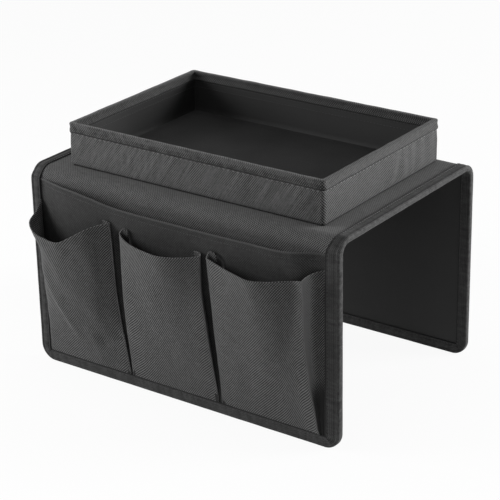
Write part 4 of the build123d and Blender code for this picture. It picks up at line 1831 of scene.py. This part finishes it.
@dataclass
class PleatedPocket:
    """A small pocket pinched flat at its foot and open at its mouth, its ends tucked under pressed edges."""

    word: str
    ribs: tuple[Rib, ...]
    magazine: MagazinePocket
    seed: int  # picks its soft waves
    creases: tuple[Crease, ...] = ()
    side_seen: bool = False  # the cloth past its right pressed edge faces sideways and isn't tucked in
    turned: float = 0.0  # painted shade before its right edge
    ply: float = 0.6 * MM
    lowest: float = 7.5 * MM  # height of its raw edge, under the foot's tape
    foot: float = 15 * MM  # height at which the ribs' feet lie
    usual_top: float = 145 * MM
    half: float = 0.52  # share of the pocket's height at which the ribs' middles lie
    foot_share: float = 0.75  # of the stand-off that a rib has for its foot
    held: float = 1.2 * MM  # stand-off where the tape holds the cloth down
    crisp: float = 0.22  # slack of the curve through a pressed edge

    def knots(self) -> np.ndarray:
        """Distance of each rib from the first one, along the cloth.

        Returns:
            One length for each rib, the mean of those at half height and at the mouth.
        """
        half = np.array([r.half for r in self.ribs]) * MM
        mouth = np.array([r.mouth[:2] for r in self.ribs]) * MM
        gaps = (np.hypot(*np.diff(half, axis=0).T) + np.hypot(*np.diff(mouth, axis=0).T)) / 2
        return np.concatenate([[0.0], np.cumsum(gaps)])

    def tucked(self) -> np.ndarray:
        """Which ribs are in an end that is tucked under the front.

        Returns:
            1 for such a rib, 0 for the others.
        """
        crisp = [i for i, r in enumerate(self.ribs) if r.crisp]
        first = crisp[0] if len(crisp) > 1 else 0
        last = len(self.ribs) if self.side_seen else crisp[-1]
        return np.array([float(i < first or i > last) for i in range(len(self.ribs))])

    def finish(self) -> bpy.types.Material:
        """The woven cloth, with painted shade where this pocket's ends are tucked in and a painted highlight on a
        side that is seen.

        Returns:
            The pocket's own material.
        """
        start = self.ribs[0].half[0] * MM
        pressed = [float(k) + start for r, k in zip(self.ribs, self.knots()) if r.crisp]
        left = pressed[0] if len(pressed) > 1 else -1.0
        tucks = Tucks(left, pressed[-1], side_seen=self.side_seen, turned=self.turned)
        return WovenCloth(f"pocket_{self.word}_cloth", tucks=tucks).make()

    def hang(self, weights: np.ndarray, top: np.ndarray) -> tuple[np.ndarray, np.ndarray, np.ndarray]:
        """Lets the cloth hang along its ribs.

        Args:
            weights: those of the ribs in each column of the cloth.
            top: height of the mouth at each column.

        Returns:
            x, stand-off and height of each point, the rows closer set at the foot and at the mouth.
        """
        foot = np.array([r.foot for r in self.ribs]) * (1.0, self.foot_share) * MM
        half = np.array([r.half for r in self.ribs]) * MM
        mouth = np.array([r.mouth for r in self.ribs]) * MM
        held = np.full(len(self.ribs), self.held)
        share = (self.foot - self.lowest) / (self.usual_top - self.lowest)
        up = gathered_steps([0, share, 0.93], 0.022)
        drop = gathered_steps([0, 0.5, 1.3, 2.4, 5.0, 9.0], 0.7)[::-1] * MM
        near_top = 1 - drop[None] / (top - self.lowest)
        v = np.concatenate([up[None, :-1] / up[-1] * near_top[:, :1], near_top], 1)
        cubic = spline_weights([0.0, share, self.half, 1.0], v.ravel(), [0.3, 1.0, 1.0, 1.0]).reshape(*v.shape, 4)
        x, off = (
            np.einsum("ijk,ik->ij", cubic, weights @ np.stack(stops, 1))
            for stops in (
                (foot[:, 0], foot[:, 0], half[:, 0], mouth[:, 0]),
                (held, foot[:, 1], half[:, 1], mouth[:, 1]),
            )
        )
        lips = (weights @ (np.array([r.lip for r in self.ribs]) * MM))[:, None]
        bows = (weights @ (np.array([r.bow for r in self.ribs]) * MM))[:, None]
        x = x - lips * ease((v - 0.86) / 0.14) + bows * bell(v - 0.78, 0.17)
        return x, off, self.lowest + (top - self.lowest) * v

    def soften(self, off: np.ndarray, across: np.ndarray, z: np.ndarray) -> np.ndarray:
        """Adds the cloth's own slow waves.

        Args:
            off: stand-off of each point.
            across: length along the cloth of each column.
            z: height.

        Returns:
            The stand-off with them.
        """
        bearing = across[:, None] / across[-1]
        inner = ease(np.minimum(bearing, 1 - bearing) * 6) * ease((z - 16 * MM) / (25 * MM))
        off = off + 0.75 * MM * sway(across[:, None], z * 0.7, 44 * MM, self.seed) * inner
        return off + 0.3 * MM * sway(across[:, None], z * 0.8, 17 * MM, self.seed + 1) * inner

    def lay(self, off: np.ndarray, x: np.ndarray, z: np.ndarray, tucked: np.ndarray) -> np.ndarray:
        """Lays the cloth over the sheet behind it and down under the tape.

        Args:
            off: stand-off of each point.
            x: place along the panel.
            z: height.
            tucked: share of each column that is in a tucked end, which lies a little lower.

        Returns:
            The stand-off after that.
        """
        behind = self.magazine.stand_off(x, z) + self.ply + 0.15 * MM
        under_tape = ease((np.where(x > 0, x + 3.2 * MM, -x) - 140.5 * MM) / (2 * MM))
        least = np.minimum(behind, self.held + 20 * MM * (1 - under_tape))
        free = ease((z - self.lowest - 1.5 * MM) / (4 * MM))
        sunk = 0.35 * MM * tucked * (1 - ease((z - 12 * MM) / (6 * MM)))
        return np.maximum(off, least * free + self.held * (1 - free)) - sunk

    def surface(self) -> tuple[np.ndarray, np.ndarray, np.ndarray]:
        """The outer face as a grid.

        Returns:
            Points, lengths along the cloth, and the distance below the mouth.
        """
        knots = self.knots()
        across = gathered_steps(list(knots), 1.5 * MM)
        weights = spline_weights(knots, across, [self.crisp if r.crisp else 1.0 for r in self.ribs])
        top = (weights @ (np.array([r.mouth for r in self.ribs]) * MM)[:, 2])[:, None]
        x, off, z = self.hang(weights, top)
        off = self.soften(off, across, z)
        for crease in self.creases:
            off = off - crease.depths(x, z)
        off = self.lay(off, x, z, np.clip(weights @ self.tucked(), 0, 1)[:, None])
        lengths = length_map(across[:, None] + self.ribs[0].half[0] * MM, z)
        return self.magazine.place(x, z, off), lengths, top - z

    def build(self) -> None:
        """Makes and dresses the pocket."""
        points, lengths, below = self.surface()
        normal = np.cross(np.gradient(points, axis=0), np.gradient(points, axis=1))
        normal /= np.linalg.norm(normal, axis=-1)[..., None]
        roll = 0.22 * MM * bell(below - 0.8 * MM, 0.8 * MM)
        face = points + normal * roll[..., None]
        doubled = self.ply * (1 + 0.7 * ease((6 * MM - below) / (1.5 * MM)) * ease(below / (0.8 * MM)))
        back = points - normal * doubled[..., None]
        back[..., 1] = np.minimum(back[..., 1], self.magazine.saddle.front_face - 0.65 * MM)
        piece = Cloth(f"pocket_{self.word}_sheet").sheet(face, back, lengths, 70)
        finish_piece(piece, self.finish(), [f"pocket_{self.word}"])
        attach(piece, Body.FRONT.value)


LEFT_RIBS = (
    Rib((-146, 1.2), (-146, 1.2), (-146, 1.2, 151)),
    Rib((-142.6, 1.3), (-142.3, 1.6), (-142.6, 2, 149)),
    Rib((-141.2, 2), (-139.2, 5.5), (-138.5, 9, 142), lip=3),
    Rib((-139.9, 2.6), (-134.6, 11.5), (-134, 20, 135.5), lip=6.5),
    Rib((-132, 3), (-127, 15), (-129, 26.5, 131.5), lip=3.5),
    Rib((-118, 3.5), (-114, 16.5), (-117, 29.6, 128.5), lip=1),
    Rib((-100, 3.6), (-99, 16.5), (-103, 29.6, 127.8)),
    Rib((-87, 3.4), (-88, 16.6), (-89, 27, 135.6)),
    Rib((-76, 3.2), (-77.5, 15), (-78.5, 23.2, 142)),
    Rib((-64, 2.8), (-68, 10.3), (-69, 15.4, 146.2)),
    Rib((-54, 2.5), (-60.4, 6.2), (-60.9, 10.7, 148.2), crisp=True),
    Rib((-54.6, 1.9), (-61.6, 6.2), (-62.6, 10.8, 149.2)),
    Rib((-57.5, 1.6), (-66, 5.8), (-68.5, 10.4, 149)),
)
MIDDLE_RIBS = (
    Rib((-49.5, 1.6), (-42, 5.8), (-43, 10.4, 146)),
    Rib((-51.6, 1.9), (-47, 8.4), (-47.8, 11.4, 146.5)),
    Rib((-52, 2.5), (-49.2, 12.3), (-49.6, 14, 143), crisp=True),
    Rib((-35, 3.2), (-34, 14.5), (-38.5, 20, 140.2)),
    Rib((-14, 3.6), (-14, 16.5), (-19.5, 26, 140)),
    Rib((0, 3.6), (1, 16.5), (-2.3, 28.8, 140)),
    Rib((13, 3.5), (13, 15.5), (12, 25, 140), bow=-0.5),
    Rib((26, 3), (25, 14), (24, 18, 140.3), bow=-1.2),
    Rib((36.8, 2.5), (35.2, 12.3), (31.6, 13.8, 141.8), crisp=True, bow=-2),
    Rib((36.2, 1.9), (33.2, 8.4), (30, 11.2, 143.5), bow=-1.8),
    Rib((33.5, 1.6), (27, 5.8), (23.5, 10.4, 143.5)),
)
RIGHT_RIBS = (
    Rib((43.5, 1.6), (48.8, 5.8), (44.5, 10.4, 145.8)),
    Rib((40.6, 1.9), (43.4, 8.4), (38.6, 11.4, 147)),
    Rib((40.2, 2.5), (42, 12.3), (37.4, 14.2, 142), crisp=True),
    Rib((56, 3.2), (57, 14.6), (57.4, 19.3, 140)),
    Rib((74, 3.5), (75, 16), (75.3, 25.6, 140)),
    Rib((90, 3.6), (90, 16.5), (86.5, 28.2, 140)),
    Rib((107, 3.4), (104, 15), (100.2, 24, 140.2)),
    Rib((122, 3.6), (117.5, 11.6), (116.6, 11, 140.2)),
    Rib((134.3, 5.6), (128, 10.6), (126.2, 13.2, 143.4), crisp=True),
    Rib((135, 1.5), (127.6, 3.4), (128.8, 7.6, 146.4)),
    Rib((137.2, 2.6), (133.4, 2.4), (133.3, 4.8, 149)),
    Rib((138.8, 1.4), (138.4, 1.6), (138.8, 1.7, 150.7)),
    Rib((146, 1.2), (146, 1.2), (146, 1.2, 151.2)),
)


LEFT_CREASES = (
    Crease((-137.0, 107), (-101.5, 31), -1.9, (2.4, 10.0)),
    Crease((-86.0, 32), (-56.0, 46), 1.9, (5.5, 5.5)),
)


# ---- studio


@dataclass
class Studio:
    """White sweep, soft lamps and the camera at the photograph's angle."""

    azimuth: float = 35.82  # degrees to the right of straight in front
    elevation: float = 23.01
    roll: float = -1.12
    focal: float = 1854.2 / 500  # of the frame's width
    aim: Triple = (-4.4 * MM, 16.1 * MM, 97.4 * MM)
    distance: float = 1564.8 * MM
    lamp_aim: Triple = (0, 0, 0.1)
    reach: float = 6.0  # of the floor, each way
    floor_glow: float = 0.93  # share of plain white where the camera sees the floor
    sky_strength: float = 0.3

    # name, place, size and power
    lamps: tuple[tuple[str, Triple, float, float], ...] = (
        ("key", (1.65, 1.15, 0.65), 0.9, 50.0), ("fill", (-0.78, -0.6, 0.48), 0.5, 7.5),
        ("top", (-0.15, -0.1, 2.2), 1.4, 9.8),
    )

    def camera(self) -> None:
        """Places the camera."""
        data = bpy.data.cameras.new("camera")
        data.sensor_width = 36.0
        data.lens = data.sensor_width * self.focal
        data.clip_start, data.clip_end = 0.05, 50.0
        thing = placed("camera", data)
        az, el = math.radians(self.azimuth), math.radians(self.elevation)
        back = Vector((math.sin(az) * math.cos(el), -math.cos(az) * math.cos(el), math.sin(el)))
        right = Vector((math.cos(az), math.sin(az), 0.0))
        turn = Matrix((right, back.cross(right), back)).transposed().to_4x4()
        rolled = turn @ Matrix.Rotation(math.radians(self.roll), 4, "Z")
        thing.matrix_world = Matrix.Translation(Vector(self.aim) + back * self.distance) @ rolled
        bpy.context.scene.camera = thing

    def lamp(self, name: str, place: Sequence[float], size: float, power: float) -> None:
        """Adds a square soft lamp aimed at the tray.

        Args:
            name: its name.
            place: where it stands.
            size: its side, in metres.
            power: its power, in watts.
        """
        data = bpy.data.lights.new(name, "AREA")
        data.size = size
        data.energy = power
        thing = placed(name, data)
        thing.location = place
        thing.rotation_mode = "QUATERNION"
        thing.rotation_quaternion = (Vector(self.lamp_aim) - Vector(place)).to_track_quat("-Z", "Y")

    def floor(self) -> None:
        """Lays a pale floor that the camera sees nearly white and that keeps the shadow."""
        data = bpy.data.meshes.new("floor")
        corners = [(x * self.reach, y * self.reach, 0) for x, y in ((-1, -1), (1, -1), (1, 1), (-1, 1))]
        data.from_pydata(corners, [], [(0, 1, 2, 3)])
        placed("floor", data)
        board = NodeBoard("pale_floor")
        paper = board.node("ShaderNodeBsdfDiffuse", {"Color": (0.8, 0.8, 0.8, 1.0)})
        glow = board.node("ShaderNodeEmission", {"Color": WHITE, "Strength": 1.0})
        path = board.node("ShaderNodeLightPath")
        seen = Wire(board, path.outputs["Is Camera Ray"]) + Wire(board, path.outputs["Is Glossy Ray"])
        seen = seen + Wire(board, path.outputs["Is Transmission Ray"])
        shares = {0: seen * self.floor_glow, 1: paper.outputs[0], 2: glow.outputs[0]}
        mixed = board.node("ShaderNodeMixShader", shares)
        board.node("ShaderNodeOutputMaterial", {"Surface": mixed.outputs[0]})
        data.materials.append(board.material)

    def sky(self) -> None:
        """Gives even light from all round, white where the camera sees it."""
        world = bpy.data.worlds.new("studio")
        bpy.context.scene.world = world
        board = NodeBoard("studio", world)
        path = board.node("ShaderNodeLightPath")
        soft, white = (
            board.node("ShaderNodeBackground", {"Color": WHITE, "Strength": strength})
            for strength in (self.sky_strength, 1.0)
        )
        shares = {0: path.outputs["Is Camera Ray"], 1: soft.outputs[0], 2: white.outputs[0]}
        mixed = board.node("ShaderNodeMixShader", shares)
        board.node("ShaderNodeOutputWorld", {"Surface": mixed.outputs[0]})

    def build(self) -> None:
        """Sets the whole studio up."""
        bpy.context.scene.view_settings.view_transform = "Standard"
        self.camera()
        self.floor()
        self.sky()
        for lamp in self.lamps:
            self.lamp(*lamp)


def dress_boards(wardrobe: Wardrobe) -> None:
    """Gives the hidden boards, which stay as the model has them, their own finish.

    Args:
        wardrobe: the finishes.
    """
    for name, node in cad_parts.items():
        if "board" in name:
            for slot in node.material_slots:
                slot.material = wardrobe.board
            LOG.info("%s: kept, dressed as board", name)


def main() -> None:
    """Builds every sub-assembly in order."""
    logging.basicConfig(level=logging.INFO, format="%(name)s %(message)s")
    Studio().build()
    saddle = Saddle.of_frame()
    wardrobe = Wardrobe.stocked()
    dress_boards(wardrobe)
    Covering(saddle, wardrobe).build()
    EdgeTape(saddle, wardrobe).build()
    TrayBox(wardrobe).build()
    magazine = MagazinePocket(saddle, wardrobe)
    magazine.build()
    # the left pocket takes painted shade before its right edge
    PleatedPocket("left", LEFT_RIBS, magazine, 71, LEFT_CREASES, turned=-0.13).build()
    PleatedPocket("middle", MIDDLE_RIBS, magazine, 74).build()
    PleatedPocket("right", RIGHT_RIBS, magazine, 77, side_seen=True).build()
    bpy.context.view_layer.update()


if __name__ == "__main__":
    main()
